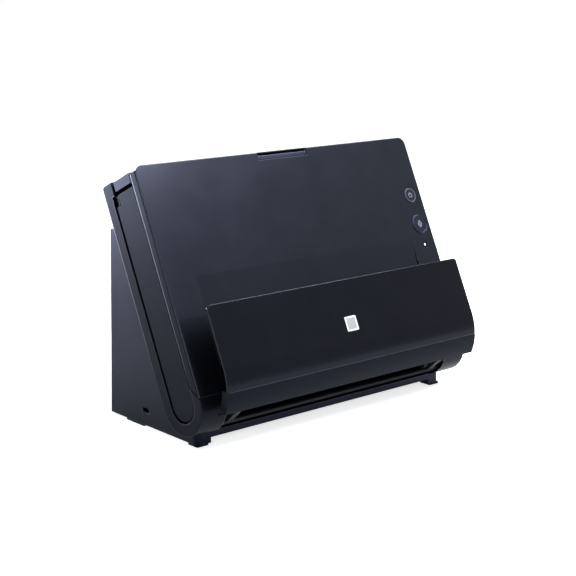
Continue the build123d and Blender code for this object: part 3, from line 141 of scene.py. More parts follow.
def mixColour(tree, factor, first, second):
    node = put(tree, "ShaderNodeMix", data_type="RGBA")
    for index, value in ((0, factor), (6, first), (7, second)):  # the colour sockets of a Mix node
        feed(tree, node.inputs[index], value)
    return node.outputs[2]


def spread(tree, value, low, high, fromLow=0.0, fromHigh=1.0):
    node = put(tree, "ShaderNodeMapRange", clamp=True)
    feed(tree, node.inputs["Value"], value)
    for name, limit in (("From Min", fromLow), ("From Max", fromHigh), ("To Min", low), ("To Max", high)):
        feed(tree, node.inputs[name], limit)
    return node.outputs["Result"]


softDetail = (4.0, 0.6)  # detail and roughness of the slow noises
noiseSpan = (0.3, 0.7)  # where most of a noise's values lie


def noise(tree, vector, scale, detail=3.0, roughness=0.55):
    node = put(tree, "ShaderNodeTexNoise")
    for name, value in (("Vector", vector), ("Scale", scale), ("Detail", detail), ("Roughness", roughness)):
        feed(tree, node.inputs[name], value)
    return node.outputs["Fac"]


def bumpFrom(tree, height, normal, distance):
    bump = put(tree, "ShaderNodeBump")
    for name, value in (("Strength", 1.0), ("Distance", distance), ("Height", height), ("Normal", normal)):
        feed(tree, bump.inputs[name], value)
    return bump.outputs["Normal"]


def startGroup(name, inputs, outputs):
    group = bpy.data.node_groups.new(name, "ShaderNodeTree")
    for label, kind, value in inputs:
        socket = group.interface.new_socket(label, in_out="INPUT", socket_type=kind)
        socket.default_value = value
    for label, kind in outputs:
        group.interface.new_socket(label, in_out="OUTPUT", socket_type=kind)
    return group, put(group, "NodeGroupInput").outputs, put(group, "NodeGroupOutput").inputs


def useGroup(tree, group, **values):
    node = put(tree, "ShaderNodeGroup", node_tree=group)
    for label, value in values.items():
        feed(tree, node.inputs[label], value)
    return node.outputs


number, direction = "NodeSocketFloat", "NodeSocketVector"
bevelSamples = 6
grainDetail = (2.0, 0.5)  # detail and roughness of the fine texture
dustShape = {"lying": (0.25, 0.95), "clumps": (5.0, 0.7), "patches": (0.38, 0.72)}
hairShape = {"stretch": (1.0, 14.0, 9.0), "turn": (0.3, 0.5, 0.7), "detail": (2.0, 0.4), "thin": (0.66, 0.74)}

# Fine spark-eroded texture of moulded plastic, with a slow change of tone
mouldGrain, inside, outside = startGroup(
    "mouldGrain", (("Scale", number, 1800.0), ("Slow", number, 22.0)), (("Height", number), ("Tone", number)))
place = objectPlace(mouldGrain)
feed(mouldGrain, outside["Height"], noise(mouldGrain, place, inside["Scale"], *grainDetail))
feed(mouldGrain, outside["Tone"], noise(mouldGrain, place, inside["Slow"], *softDetail))

# Rounded edge: its normal, and a mask that is bright along the edge
edgeRound, inside, outside = startGroup(
    "edgeRound", (("Radius", number, 0.0004), ("Gain", number, 6.0)),
    (("Normal", direction), ("Mask", number)))
bevel = put(edgeRound, "ShaderNodeBevel", samples=bevelSamples)
feed(edgeRound, bevel.inputs["Radius"], inside["Radius"])
rounded = bevel.outputs["Normal"]
flat = put(edgeRound, "ShaderNodeNewGeometry").outputs["Normal"]
bend = calc(edgeRound, "SUBTRACT", 1.0, vectorCalc(edgeRound, "DOT_PRODUCT", rounded, flat))
feed(edgeRound, outside["Normal"], rounded)
feed(edgeRound, outside["Mask"], calc(edgeRound, "MULTIPLY", bend, inside["Gain"], clamp=True))

# Dust that settles on what faces up, in soft patches
settledDust, inside, outside = startGroup(
    "settledDust", (("Amount", number, 0.2), ("Scale", number, 60.0)), (("Mask", number),))
facing = splitAxes(settledDust, put(settledDust, "ShaderNodeNewGeometry").outputs["Normal"])
lying = spread(settledDust, facing["Z"], 0.0, 1.0, *dustShape["lying"])
clumps = noise(settledDust, objectPlace(settledDust), inside["Scale"], *dustShape["clumps"])
patches = spread(settledDust, clumps, 0.0, 1.0, *dustShape["patches"])
settled = calc(settledDust, "MULTIPLY", lying, patches)
feed(settledDust, outside["Mask"], calc(settledDust, "MULTIPLY", settled, inside["Amount"]))

# Fine hairlines left by handling and wiping
wipeLines, inside, outside = startGroup(
    "wipeLines", (("Amount", number, 0.2), ("Scale", number, 90.0)), (("Mask", number),))
drawn = stretched(wipeLines, objectPlace(wipeLines), hairShape["stretch"], hairShape["turn"])
hairs = noise(wipeLines, drawn, inside["Scale"], *hairShape["detail"])
thin = spread(wipeLines, hairs, 0.0, 1.0, *hairShape["thin"])
feed(wipeLines, outside["Mask"], calc(wipeLines, "MULTIPLY", thin, inside["Amount"]))

# Inside or outside a radius round an axis that runs across the machine: 0 inside, 1 outside
axisMask, inside, outside = startGroup(
    "axisMask", (("Centre", direction, (0.0, 0.0, 0.0)), ("Radius", number, 0.001)), (("Mask", number),))
offset = splitAxes(axisMask, vectorCalc(axisMask, "SUBTRACT", objectPlace(axisMask), inside["Centre"]))
squares = calc(axisMask, "ADD", calc(axisMask, "MULTIPLY", offset["Y"], offset["Y"]),
               calc(axisMask, "MULTIPLY", offset["Z"], offset["Z"]))
distance = calc(axisMask, "SQRT", squares)
feed(axisMask, outside["Mask"], calc(axisMask, "GREATER_THAN", distance, inside["Radius"]))

# Straight grooves that repeat across the machine
grooveLines, inside, outside = startGroup(
    "grooveLines", (("Spacing", number, 0.01), ("Width", number, 0.001)), (("Height", number),))
across = splitAxes(grooveLines, objectPlace(grooveLines))["X"]
nearest = calc(grooveLines, "PINGPONG", across, calc(grooveLines, "MULTIPLY", inside["Spacing"], 0.5))
wall = put(grooveLines, "ShaderNodeMapRange", interpolation_type="SMOOTHSTEP")
feed(grooveLines, wall.inputs["Value"], nearest)
feed(grooveLines, wall.inputs["From Min"], calc(grooveLines, "MULTIPLY", inside["Width"], 0.5))
feed(grooveLines, wall.inputs["From Max"], inside["Width"])
feed(grooveLines, outside["Height"], wall.outputs["Result"])

# A painted highlight: a lighter strip along the rear edge of the outer side faces, standing in for the light
# line on that edge. Start and Width count out of the slab, Side is how far out the faces lie, and the painted
# highlight fades downwards from High to Low
paintedEdgeHighlight, inside, outside = startGroup(
    "paintedEdgeHighlight", (("Start", number, 0.0), ("Width", number, 0.001), ("Side", number, 0.149),
                  ("Low", number, 0.05), ("High", number, 0.2)), (("Mask", number),))
place = objectPlace(paintedEdgeHighlight)
fromRing = vectorCalc(paintedEdgeHighlight, "SUBTRACT", place, slabPoint(0, 0, 0))
depthOut = vectorCalc(paintedEdgeHighlight, "DOT_PRODUCT", fromRing, outOfSlab)
fromEdge = calc(paintedEdgeHighlight, "SUBTRACT", depthOut, inside["Start"])
nearEdge = calc(paintedEdgeHighlight, "LESS_THAN", fromEdge, inside["Width"])
spot = splitAxes(paintedEdgeHighlight, place)
outermost = calc(paintedEdgeHighlight, "GREATER_THAN", calc(paintedEdgeHighlight, "ABSOLUTE", spot["X"]), inside["Side"])
fade = spread(paintedEdgeHighlight, spot["Z"], 0.0, 1.0, inside["Low"], inside["High"])
onHighlight = calc(paintedEdgeHighlight, "MULTIPLY", nearEdge, outermost)
feed(paintedEdgeHighlight, outside["Mask"], calc(paintedEdgeHighlight, "MULTIPLY", onHighlight, fade))
print("node groups built")


# Finishes
def startMaterial(name):
    material = bpy.data.materials.new(name)
    material.use_nodes = True
    tree = material.node_tree
    tree.nodes.clear()
    shader = put(tree, "ShaderNodeBsdfPrincipled")
    feed(tree, put(tree, "ShaderNodeOutputMaterial").inputs["Surface"], shader.outputs["BSDF"])
    return material, tree, shader


def paint(material, *names):  # CAD nodes take the finish in their own material slots
    for name in names:
        for slot in nodes[name].material_slots:
            slot.material = material


def roughen(tree, shader, tone, span):  # spreads a noise over a range of roughness
    feed(tree, shader.inputs["Roughness"], spread(tree, tone, *span, *noiseSpan))


def roundEdges(tree, shader, radius, height=None, depth=0.0):  # with a fine bump where a height is given
    normal = useGroup(tree, edgeRound, Radius=radius)["Normal"]
    if height is not None:
        normal = bumpFrom(tree, height, normal, depth)
    feed(tree, shader.inputs["Normal"], normal)


def plasticFinish(name, look):
    material, tree, shader = startMaterial(name)
    grain = useGroup(tree, mouldGrain, Scale=look["grain"], Slow=look["slow"])
    edge = useGroup(tree, edgeRound, Radius=look["edge"], Gain=look["edgeGain"])
    dust = useGroup(tree, settledDust, Amount=look["dust"], Scale=look["dustScale"])["Mask"]
    lines = useGroup(tree, wipeLines, Amount=look["lines"], Scale=look["lineScale"])["Mask"]
    body = mixColour(tree, grain["Tone"], look["deep"], look["pale"])
    body = mixColour(tree, calc(tree, "MULTIPLY", edge["Mask"], look["wear"]), body, look["worn"])
    if "glint" in look:
        glint = calc(tree, "MULTIPLY", edge["Mask"], look["glint"], clamp=True)
        # Painted highlight: a lighter colour along the rear edge of the side faces, with coat on the same
        # strip
        if "highlightStrip" in look:
            start, width = look["highlightStrip"]
            highlightStrip = useGroup(tree, paintedEdgeHighlight, Start=start, Width=width, Side=look["highlightSide"])["Mask"]
            body = mixColour(tree, highlightStrip, body, look["highlightColour"])
            glint = calc(tree, "MAXIMUM", glint, highlightStrip)
        feed(tree, shader.inputs["Coat Weight"], glint)
        shader.inputs["Coat Roughness"].default_value = look["glintRough"]
    feed(tree, shader.inputs["Base Color"], mixColour(tree, dust, body, look["dustColour"]))
    rough = spread(tree, grain["Tone"], *look["rough"], *noiseSpan)
    rough = calc(tree, "ADD", rough, calc(tree, "MULTIPLY", lines, look["lineRough"]))
    rough = calc(tree, "ADD", rough, calc(tree, "MULTIPLY", dust, look["dustRough"]))
    rough = calc(tree, "SUBTRACT", rough, calc(tree, "MULTIPLY", edge["Mask"], look["polish"]), clamp=True)
    feed(tree, shader.inputs["Roughness"], rough)
    height = grain["Height"]
    if "groove" in look:
        spacing, width, deepness = look["groove"]
        cut = useGroup(tree, grooveLines, Spacing=spacing, Width=width)["Height"]
        height = calc(tree, "ADD", calc(tree, "MULTIPLY", cut, deepness), height)
    feed(tree, shader.inputs["Normal"], bumpFrom(tree, height, edge["Normal"], look["depth"]))
    shader.inputs["Specular IOR Level"].default_value = look["shine"]
    shader.inputs["Specular Tint"].default_value = look["shineTint"]
    return material


def metalFinish(name, look):
    material, tree, shader = startMaterial(name)
    place = objectPlace(tree)
    streaks = noise(tree, stretched(tree, place, look["brush"]), look["streaks"], *softDetail)
    slow = noise(tree, place, look["slow"], *softDetail)
    edge = useGroup(tree, edgeRound, Radius=look["edge"], Gain=look["edgeGain"])
    dust = useGroup(tree, settledDust, Amount=look["dust"], Scale=look["dustScale"])["Mask"]
    tone = mixColour(tree, slow, look["deep"], look["pale"])
    bright = mixColour(tree, calc(tree, "MULTIPLY", edge["Mask"], look["wear"]), tone, look["worn"])
    feed(tree, shader.inputs["Base Color"], mixColour(tree, dust, bright, look["dustColour"]))
    feed(tree, shader.inputs["Metallic"], calc(tree, "SUBTRACT", 1.0, dust, clamp=True))
    feed(tree, shader.inputs["Normal"], bumpFrom(tree, streaks, edge["Normal"], look["depth"]))
    roughen(tree, shader, streaks, look["rough"])
    return material


def rollerFinish(name, look, axis, split):  # steel within the split radius, rubber or plastic outside it
    material, tree, shader = startMaterial(name)
    place = objectPlace(tree)
    outer = useGroup(tree, axisMask, Centre=slabPoint(0, *axis), Radius=split * mm)["Mask"]
    inner = calc(tree, "SUBTRACT", 1.0, outer)
    slow = noise(tree, place, look["slow"], *softDetail)
    fine = noise(tree, place, look["grain"], *look["grainDetail"])
    edge = useGroup(tree, edgeRound, Radius=look["edge"], Gain=look["edgeGain"])
    ring = mixColour(tree, slow, look["deep"], look["pale"])
    ring = mixColour(tree, calc(tree, "MULTIPLY", edge["Mask"], look["wear"]), ring, look["worn"])
    steel = mixColour(tree, slow, look["steelDeep"], look["steelPale"])
    feed(tree, shader.inputs["Base Color"], mixColour(tree, outer, steel, ring))
    feed(tree, shader.inputs["Metallic"], inner)
    ringRough = spread(tree, fine, *look["rough"], *noiseSpan)
    steelRough = spread(tree, fine, *look["steelRough"], *noiseSpan)
    rough = calc(tree, "ADD", calc(tree, "MULTIPLY", ringRough, outer),
                 calc(tree, "MULTIPLY", steelRough, inner))
    feed(tree, shader.inputs["Roughness"], rough)
    feed(tree, shader.inputs["Normal"], bumpFrom(tree, fine, edge["Normal"], look["depth"]))
    return material


# Dark moulded shells
coolTint = (0.63, 0.68, 1.0, 1)
casingLook = {"deep": (0.0024, 0.0026, 0.0042, 1), "pale": (0.0034, 0.0037, 0.0056, 1), "rough": (0.33, 0.38),
              "grain": 1900.0, "slow": 22.0, "depth": 0.000008,
              "edge": 0.0005, "edgeGain": 5.0, "wear": 0.35, "worn": (0.03, 0.032, 0.042, 1), "polish": 0.12,
              "dust": 0.03, "dustScale": 55.0, "dustColour": (0.16, 0.16, 0.17, 1), "dustRough": 0.5,
              "lines": 0.05, "lineScale": 90.0, "lineRough": 0.25,
              "shine": 0.045, "shineTint": (0.45, 0.52, 1.0, 1)}
# The housing and the band carry a painted highlight: a lighter colour strip along the rear edge of their
# outer side faces
housingLook = dict(casingLook, edge=0.001, shine=0.06, glint=1.0, glintRough=0.2, highlightStrip=(-0.0258, 0.0011),
                   highlightSide=cadHigh.x - 0.0008, highlightColour=(0.26, 0.285, 0.35, 1))
paint(plasticFinish("housingPlastic", housingLook), "rear_housing")
bandLook = dict(housingLook, highlightStrip=(0.0168, 0.0012), edge=0.0008, rough=(0.33, 0.37), shine=0.058)
paint(plasticFinish("bandPlastic", bandLook), "front_frame")
standLook = dict(casingLook, rough=(0.3, 0.35), shine=0.14, edge=0.0008, glint=0.6, glintRough=0.25)
paint(plasticFinish("standPlastic", standLook), "stand_shell")
lowerLook = dict(casingLook, rough=(0.4, 0.46), shine=0.055)
paint(plasticFinish("trayLowerPlastic", lowerLook), "tray_lower_cover")
sideLook = dict(casingLook, rough=(0.34, 0.39), shine=0.055)
paint(plasticFinish("sideCoverPlastic", sideLook), "left_side_cover", "right_side_cover")
coverLook = dict(casingLook, rough=(0.22, 0.26), shine=0.23, shineTint=coolTint, depth=0.000005)
paint(plasticFinish("frontCoverPlastic", coverLook), "front_cover")
glossLook = dict(casingLook, deep=(0.0012, 0.0013, 0.002, 1), pale=(0.0018, 0.0019, 0.0028, 1),
                 rough=(0.21, 0.25), grain=300.0, depth=0.000002, shine=0.13, shineTint=(0.6, 0.66, 1.0, 1),
                 dust=0.015, lines=0.03, edge=0.0007, glint=0.7, glintRough=0.12)
paint(plasticFinish("trayGloss", glossLook), "tray_panel")
innerLook = dict(casingLook, rough=(0.5, 0.58), shine=0.05)
paint(plasticFinish("trayInnerPlastic", innerLook), "tray_inner_panel", "tray_base")
feedCoverLook = dict(casingLook, rough=(0.34, 0.4), shine=0.14)
paint(plasticFinish("feedCoverPlastic", feedCoverLook), "feed_cover")
supportLook = dict(casingLook, rough=(0.44, 0.52), groove=(0.03, 0.0012, 6.0), depth=0.00002)
paint(plasticFinish("supportPlastic", supportLook), "document_support", "support_extension")
undersideLook = dict(casingLook, deep=(0.0024, 0.0025, 0.003, 1), pale=(0.0036, 0.0037, 0.0044, 1),
                     rough=(0.55, 0.65), shine=0.1, grain=900.0, depth=0.00003, dust=0.0)
paint(plasticFinish("undersidePlastic", undersideLook), "stand_bottom_plate", "chin_cover")

# Smaller parts of plastic, rubber and coated steel
footLook = dict(casingLook, deep=(0.004, 0.004, 0.0044, 1), pale=(0.007, 0.007, 0.0074, 1),
                rough=(0.75, 0.88), grain=1400.0, depth=0.00004, shine=0.12, edge=0.0003)
paint(plasticFinish("footRubber", footLook), "foot_pads")
guideLook = dict(casingLook, deep=(0.01, 0.0104, 0.0122, 1), pale=(0.015, 0.0155, 0.0176, 1),
                 rough=(0.3, 0.4), grain=1200.0, edge=0.0003, dust=0.12, lines=0.25)
guidePlastic = plasticFinish("paperGuidePlastic", guideLook)
paint(guidePlastic, "rear_paper_guide", "turn_guide", "front_paper_guide", "exit_guide")
fenceLook = dict(casingLook, deep=(0.02, 0.0205, 0.024, 1), pale=(0.03, 0.0305, 0.034, 1), rough=(0.38, 0.46),
                 edge=0.0003, lines=0.2)
paint(plasticFinish("fencePlastic", fenceLook), "left_document_guide", "right_document_guide", "guide_pinion")
latchLook = dict(casingLook, rough=(0.3, 0.36), shine=0.26, edge=0.0006, polish=0.0)
paint(plasticFinish("latchPlastic", latchLook), "latch_lever")
buttonLook = dict(casingLook, rough=(0.26, 0.32), shine=0.32, edge=0.0006, wear=0.6)
paint(plasticFinish("buttonPlastic", buttonLook), "power_button", "start_button")
bushLook = dict(casingLook, deep=(0.42, 0.4, 0.34, 1), pale=(0.5, 0.48, 0.41, 1), worn=(0.6, 0.58, 0.5, 1),
                rough=(0.35, 0.45), shine=0.5, edge=0.0002, shineTint=(1, 1, 1, 1))
paint(plasticFinish("bushPlastic", bushLook), "shaft_bushes")
sensorLook = dict(casingLook, deep=(0.006, 0.006, 0.006, 1), pale=(0.01, 0.01, 0.01, 1), rough=(0.45, 0.55),
                  edge=0.0003)
paint(plasticFinish("sensorHousing", sensorLook), "rear_image_sensor", "front_image_sensor")
beltLook = dict(casingLook, deep=(0.01, 0.01, 0.0105, 1), pale=(0.016, 0.016, 0.0165, 1), rough=(0.7, 0.82),
                grain=700.0, depth=0.00005, edge=0.0002)
paint(plasticFinish("beltRubber", beltLook), "drive_belt")
coatLook = dict(casingLook, deep=(0.006, 0.006, 0.0064, 1), pale=(0.009, 0.009, 0.0095, 1),
                worn=(0.06, 0.06, 0.06, 1), rough=(0.42, 0.5), grain=1100.0, depth=0.00003, shine=0.12,
                edge=0.0002)
paint(plasticFinish("coatedPlate", coatLook), "hinge_brackets", "left_side_plate", "right_side_plate",
      "roller_brackets")
print("plastics painted")

# Bare metals
plateLook = {"deep": (0.3, 0.3, 0.3, 1), "pale": (0.4, 0.4, 0.4, 1), "slow": 35.0, "rough": (0.42, 0.54),
             "brush": (1.0, 1.0, 9.0), "streaks": 420.0, "depth": 0.000008,
             "edge": 0.0002, "edgeGain": 5.0, "wear": 0.5, "worn": (0.6, 0.6, 0.6, 1),
             "dust": 0.06, "dustScale": 70.0, "dustColour": (0.2, 0.19, 0.18, 1)}
paint(metalFinish("springSteel", plateLook), "latch_spring")
pinLook = dict(plateLook, deep=(0.42, 0.43, 0.44, 1), pale=(0.56, 0.57, 0.58, 1), worn=(0.75, 0.75, 0.75, 1),
               rough=(0.18, 0.3), brush=(9.0, 1.0, 1.0), dust=0.03)
paint(metalFinish("pinSteel", pinLook), "hinge_pins", "feed_cover_pins", "pinion_pin")
screwLook = dict(plateLook, deep=(0.2, 0.2, 0.21, 1), pale=(0.3, 0.3, 0.31, 1), rough=(0.28, 0.4),
                 brush=(2, 2, 2))
paint(metalFinish("screwSteel", screwLook), "body_screws")
canLook = dict(plateLook, deep=(0.5, 0.5, 0.5, 1), pale=(0.62, 0.62, 0.62, 1), brush=(6.0, 1.0, 1.0))
paint(metalFinish("motorCan", canLook), "drive_motor")

# Rollers and shafts, each told apart from its axis by distance
rubberLook = {"deep": (0.05, 0.052, 0.056, 1), "pale": (0.075, 0.077, 0.082, 1), "slow": 60.0,
              "rough": (0.68, 0.84), "grain": 900.0, "grainDetail": (3.0, 0.6), "depth": 0.00002,
              "edge": 0.0003, "edgeGain": 5.0, "wear": 0.4, "worn": (0.13, 0.13, 0.135, 1),
              "steelDeep": (0.42, 0.42, 0.43, 1), "steelPale": (0.58, 0.58, 0.59, 1),
              "steelRough": (0.2, 0.34)}
retardLook = dict(rubberLook, deep=(0.035, 0.036, 0.04, 1))
pulleyLook = dict(rubberLook, deep=(0.55, 0.55, 0.52, 1), pale=(0.66, 0.66, 0.62, 1),
                  worn=(0.74, 0.74, 0.7, 1), rough=(0.35, 0.45))
brassLook = dict(pulleyLook, deep=(0.55, 0.42, 0.2, 1), pale=(0.68, 0.53, 0.28, 1))
hookLook = dict(pulleyLook, deep=(0.02, 0.02, 0.024, 1), pale=(0.03, 0.03, 0.034, 1),
                worn=(0.08, 0.08, 0.09, 1))
turnAxis, driveAxis, feedAxis = (12.0, 8.5), (64.0, -0.85), (88.0, -0.85)  # up the slab and out of it
for node, look, axis, split in (
        ("turn_tyres", rubberLook, turnAxis, 3.0),
        ("drive_tyres", rubberLook, driveAxis, 3.0),
        ("feed_tyres", rubberLook, feedAxis, 3.0),
        ("rear_pinch_roller", rubberLook, (64.0, -12.15), 1.01),
        ("turn_pinch_roller", rubberLook, (-9.7, 8.5), 1.01),
        ("exit_pinch_roller", rubberLook, (12.0, 30.2), 1.01),
        ("retard_roller", retardLook, (88.0, -15.15), 2.01),
        ("turn_shaft", pulleyLook, turnAxis, 3.01),
        ("drive_shaft", pulleyLook, driveAxis, 3.01),
        ("feed_shaft", pulleyLook, feedAxis, 3.01),
        ("motor_shaft", brassLook, (110.0, 9.0), 1.51),
        ("latch_shaft", hookLook, (174.4, 20.0), 1.51)):
    paint(rollerFinish(node + "Finish", look, axis, split), node)
print("metals and rollers painted")

# Circuit boards: green lacquer with traces, and black chips and bright legs above it
boardLook = {"lacquer": (0.012, 0.075, 0.03, 1), "trace": (0.022, 0.13, 0.055, 1), "cells": 260.0,
             "fold": 0.12, "traceEdge": 0.07, "rough": (0.24, 0.36), "grain": 500.0, "depth": 0.00001,
             "edge": 0.0002, "chip": (0.012, 0.012, 0.013, 1), "legs": (0.5, 0.5, 0.48, 1),
             "legFoot": 0.00005, "legTop": 0.0004}


def boardFinish(name, look, upright, surface):
    material, tree, shader = startMaterial(name)
    place = objectPlace(tree)
    cells = put(tree, "ShaderNodeTexVoronoi", distance="MANHATTAN", feature="F1")
    feed(tree, cells.inputs["Vector"], place)
    feed(tree, cells.inputs["Scale"], look["cells"])
    folded = calc(tree, "PINGPONG", cells.outputs["Distance"], look["fold"])
    tracks = calc(tree, "GREATER_THAN", folded, look["traceEdge"])
    lacquer = mixColour(tree, tracks, look["lacquer"], look["trace"])
    rise = vectorCalc(tree, "DOT_PRODUCT", vectorCalc(tree, "SUBTRACT", place, surface), upright)
    onTop = calc(tree, "GREATER_THAN", rise, look["legFoot"])
    solder = calc(tree, "MULTIPLY", onTop, calc(tree, "LESS_THAN", rise, look["legTop"]))
    body = mixColour(tree, onTop, lacquer, look["chip"])
    feed(tree, shader.inputs["Base Color"], mixColour(tree, solder, body, look["legs"]))
    feed(tree, shader.inputs["Metallic"], solder)
    roughen(tree, shader, noise(tree, place, look["grain"]), look["rough"])
    roundEdges(tree, shader, look["edge"], tracks, look["depth"])
    return material


mainBoardTop, panelBoardTop = Vector((0, 0, 0.0101)), slabPoint(0, 0, 20.1)
paint(boardFinish("circuitBoard", boardLook, -down, mainBoardTop), "main_board")
paint(boardFinish("buttonBoard", boardLook, outOfSlab, panelBoardTop), "panel_board")


# Sockets: a shell, and a core near the pin or tongue, of which one is metal
def socketFinish(name, look, low, high):
    material, tree, shader = startMaterial(name)
    place = objectPlace(tree)
    split = splitAxes(tree, place)
    sideways = calc(tree, "SUBTRACT", split["X"], (low.x + high.x) / 2)
    upwards = calc(tree, "SUBTRACT", split["Z"], (low.z + high.z) / 2)
    wide = calc(tree, "DIVIDE", calc(tree, "ABSOLUTE", sideways), look["reach"][0])
    tall = calc(tree, "DIVIDE", calc(tree, "ABSOLUTE", upwards), look["reach"][1])
    core = calc(tree, "LESS_THAN", calc(tree, "MAXIMUM", wide, tall), 1.0)
    slow = noise(tree, place, look["slow"])
    shell = mixColour(tree, slow, look["deep"], look["pale"])
    middle = mixColour(tree, slow, look["coreDeep"], look["corePale"])
    feed(tree, shader.inputs["Base Color"], mixColour(tree, core, shell, middle))
    feed(tree, shader.inputs["Metallic"], core if look["metalCore"] else calc(tree, "SUBTRACT", 1.0, core))
    roughen(tree, shader, slow, look["rough"])
    roundEdges(tree, shader, look["edge"], slow, look["depth"])
    return material


inletLook = {"reach": (0.0012, 0.0012), "deep": (0.01, 0.01, 0.01, 1), "pale": (0.018, 0.018, 0.019, 1),
             "coreDeep": (0.5, 0.48, 0.44, 1), "corePale": (0.66, 0.63, 0.57, 1), "metalCore": True,
             "slow": 220.0, "rough": (0.25, 0.42), "edge": 0.0002, "depth": 0.00001}
inletLow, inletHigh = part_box("power_inlet")
paint(socketFinish("inletSocket", inletLook, inletLow, inletHigh), "power_inlet")
portLook = dict(inletLook, reach=(0.0029, 0.0017), deep=(0.5, 0.5, 0.5, 1), pale=(0.64, 0.64, 0.63, 1),
                coreDeep=(0.5, 0.5, 0.48, 1), corePale=(0.62, 0.62, 0.6, 1), metalCore=False)
portLow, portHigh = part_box("data_port")
paint(socketFinish("portSocket", portLook, portLow, portHigh), "data_port")

# Scan glass over the sensors
glassLook = {"colour": (0.86, 0.93, 0.9, 1), "smeared": (0.8, 0.9, 0.86, 1), "smear": 80.0,
             "smearSpan": (0.45, 0.75), "rough": (0.01, 0.05), "edge": 0.0002, "clear": 0.9, "bend": 1.5}


def glassFinish(name, look):
    material, tree, shader = startMaterial(name)
    smear = noise(tree, objectPlace(tree), look["smear"], *softDetail)
    feed(tree, shader.inputs["Base Color"], mixColour(tree, smear, look["colour"], look["smeared"]))
    feed(tree, shader.inputs["Roughness"], spread(tree, smear, *look["rough"], *look["smearSpan"]))
    roundEdges(tree, shader, look["edge"])
    shader.inputs["Transmission Weight"].default_value = look["clear"]
    shader.inputs["IOR"].default_value = look["bend"]
    return material


paint(glassFinish("scanGlass", glassLook), "rear_scan_glass", "front_scan_glass")

# Status lamp: pale lens in a black ring
lampLook = {"axis": (136.4, 87.7, 26.4), "lens": 0.00095, "pale": (0.8, 0.82, 0.84, 1),
            "milky": (0.9, 0.92, 0.94, 1), "ring": (0.0016, 0.0016, 0.0019, 1), "grain": 900.0,
            "rough": (0.16, 0.3), "edge": 0.0002, "glow": 0.35, "shine": 0.1}


def lampFinish(name, look):
    material, tree, shader = startMaterial(name)
    place = objectPlace(tree)
    offset = vectorCalc(tree, "SUBTRACT", place, slabPoint(*look["axis"]))
    reach = vectorCalc(tree, "LENGTH", vectorCalc(tree, "CROSS_PRODUCT", offset, outOfSlab))
    lens = calc(tree, "LESS_THAN", reach, look["lens"])
    grain = noise(tree, place, look["grain"])
    milky = mixColour(tree, grain, look["pale"], look["milky"])
    feed(tree, shader.inputs["Base Color"], mixColour(tree, lens, look["ring"], milky))
    feed(tree, shader.inputs["Emission Color"], mixColour(tree, lens, (0, 0, 0, 1), milky))
    shader.inputs["Emission Strength"].default_value = look["glow"]
    shader.inputs["Specular IOR Level"].default_value = look["shine"]
    roughen(tree, shader, grain, look["rough"])
    roundEdges(tree, shader, look["edge"])
    return material


paint(lampFinish("statusLamp", lampLook), "status_lamp")

# Blank badge: a pale plate with a lighter rim
badgeLook = {"centre": (-2.0, 28.5, 54.2), "half": 0.0062, "rim": 0.0013, "rimColour": (0.5, 0.495, 0.47, 1),
             "field": (0.19, 0.19, 0.195, 1), "fieldPale": (0.23, 0.23, 0.235, 1), "grain": 500.0,
             "rough": (0.4, 0.55), "edge": 0.0001, "depth": 0.00001}


def badgeFinish(name, look):
    material, tree, shader = startMaterial(name)
    place = objectPlace(tree)
    offset = vectorCalc(tree, "SUBTRACT", place, slabPoint(*look["centre"]))
    wide, tall = (calc(tree, "ABSOLUTE", vectorCalc(tree, "DOT_PRODUCT", offset, axis))
                  for axis in (Vector((1, 0, 0)), upSlab))
    rim = calc(tree, "GREATER_THAN", calc(tree, "MAXIMUM", wide, tall), look["half"] - look["rim"])
    grain = noise(tree, place, look["grain"])
    field = mixColour(tree, grain, look["field"], look["fieldPale"])
    feed(tree, shader.inputs["Base Color"], mixColour(tree, rim, field, look["rimColour"]))
    roughen(tree, shader, grain, look["rough"])
    roundEdges(tree, shader, look["edge"], grain, look["depth"])
    return material


paint(badgeFinish("blankBadge", badgeLook), "badge_plate")
print("small parts painted")


# Mesh helpers
sharpAngle = math.radians(35)
ringSteps = 96
stripShape = {"sink": 0.00004, "shoulder": 0.45, "top": 0.55, "mitre": 0.35}


def newPiece(name, mesh, material, body):
    mesh.name = name
    mesh.materials.append(material)
    mesh.set_sharp_from_angle(angle=sharpAngle)
    piece = bpy.data.objects.new(name, mesh)
    scene.collection.objects.link(piece)
    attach(piece, body)


def joinRings(work, rings, nextRings):
    for one, two in zip(rings, nextRings):
        for j in range(len(one)):
            k = (j + 1) % len(one)
            work.faces.new((one[j], one[k], two[k], two[j]))


def smoothMesh(work):
    bmesh.ops.recalc_face_normals(work, faces=work.faces)
    mesh = bpy.data.meshes.new("piece")
    work.to_mesh(mesh)
    work.free()
    for face in mesh.polygons:
        face.use_smooth = True
    return mesh


def sweptStrip(runs, half, height, closed=False, top=stripShape["top"]):
    # each run is a list of (point, up) pairs, and the strip stands on it with sloping sides
    work = bmesh.new()
    sink, shoulder = stripShape["sink"], height * stripShape["shoulder"]
    profile = ((-1.0, -sink), (-1.0, shoulder), (-top, height), (top, height), (1.0, shoulder), (1.0, -sink))
    for run in runs:
        rings = []
        for index, (point, up) in enumerate(run):
            last = index == len(run) - 1
            entry = point - run[index - 1][0] if index or closed else run[1][0] - point
            leave = run[(index + 1) % len(run)][0] - point if closed or not last else entry
            sideIn, sideOut = entry.cross(up).normalized(), leave.cross(up).normalized()
            side = (sideIn + sideOut).normalized()
            wide = half / max(stripShape["mitre"], side.dot(sideOut))
            rings.append([work.verts.new(point + side * (wide * k) + up * h) for k, h in profile])
        joinRings(work, rings, rings[1:] + (rings[:1] if closed else []))
        if not closed:
            work.faces.new(rings[0])
            work.faces.new(rings[-1])
    return smoothMesh(work)


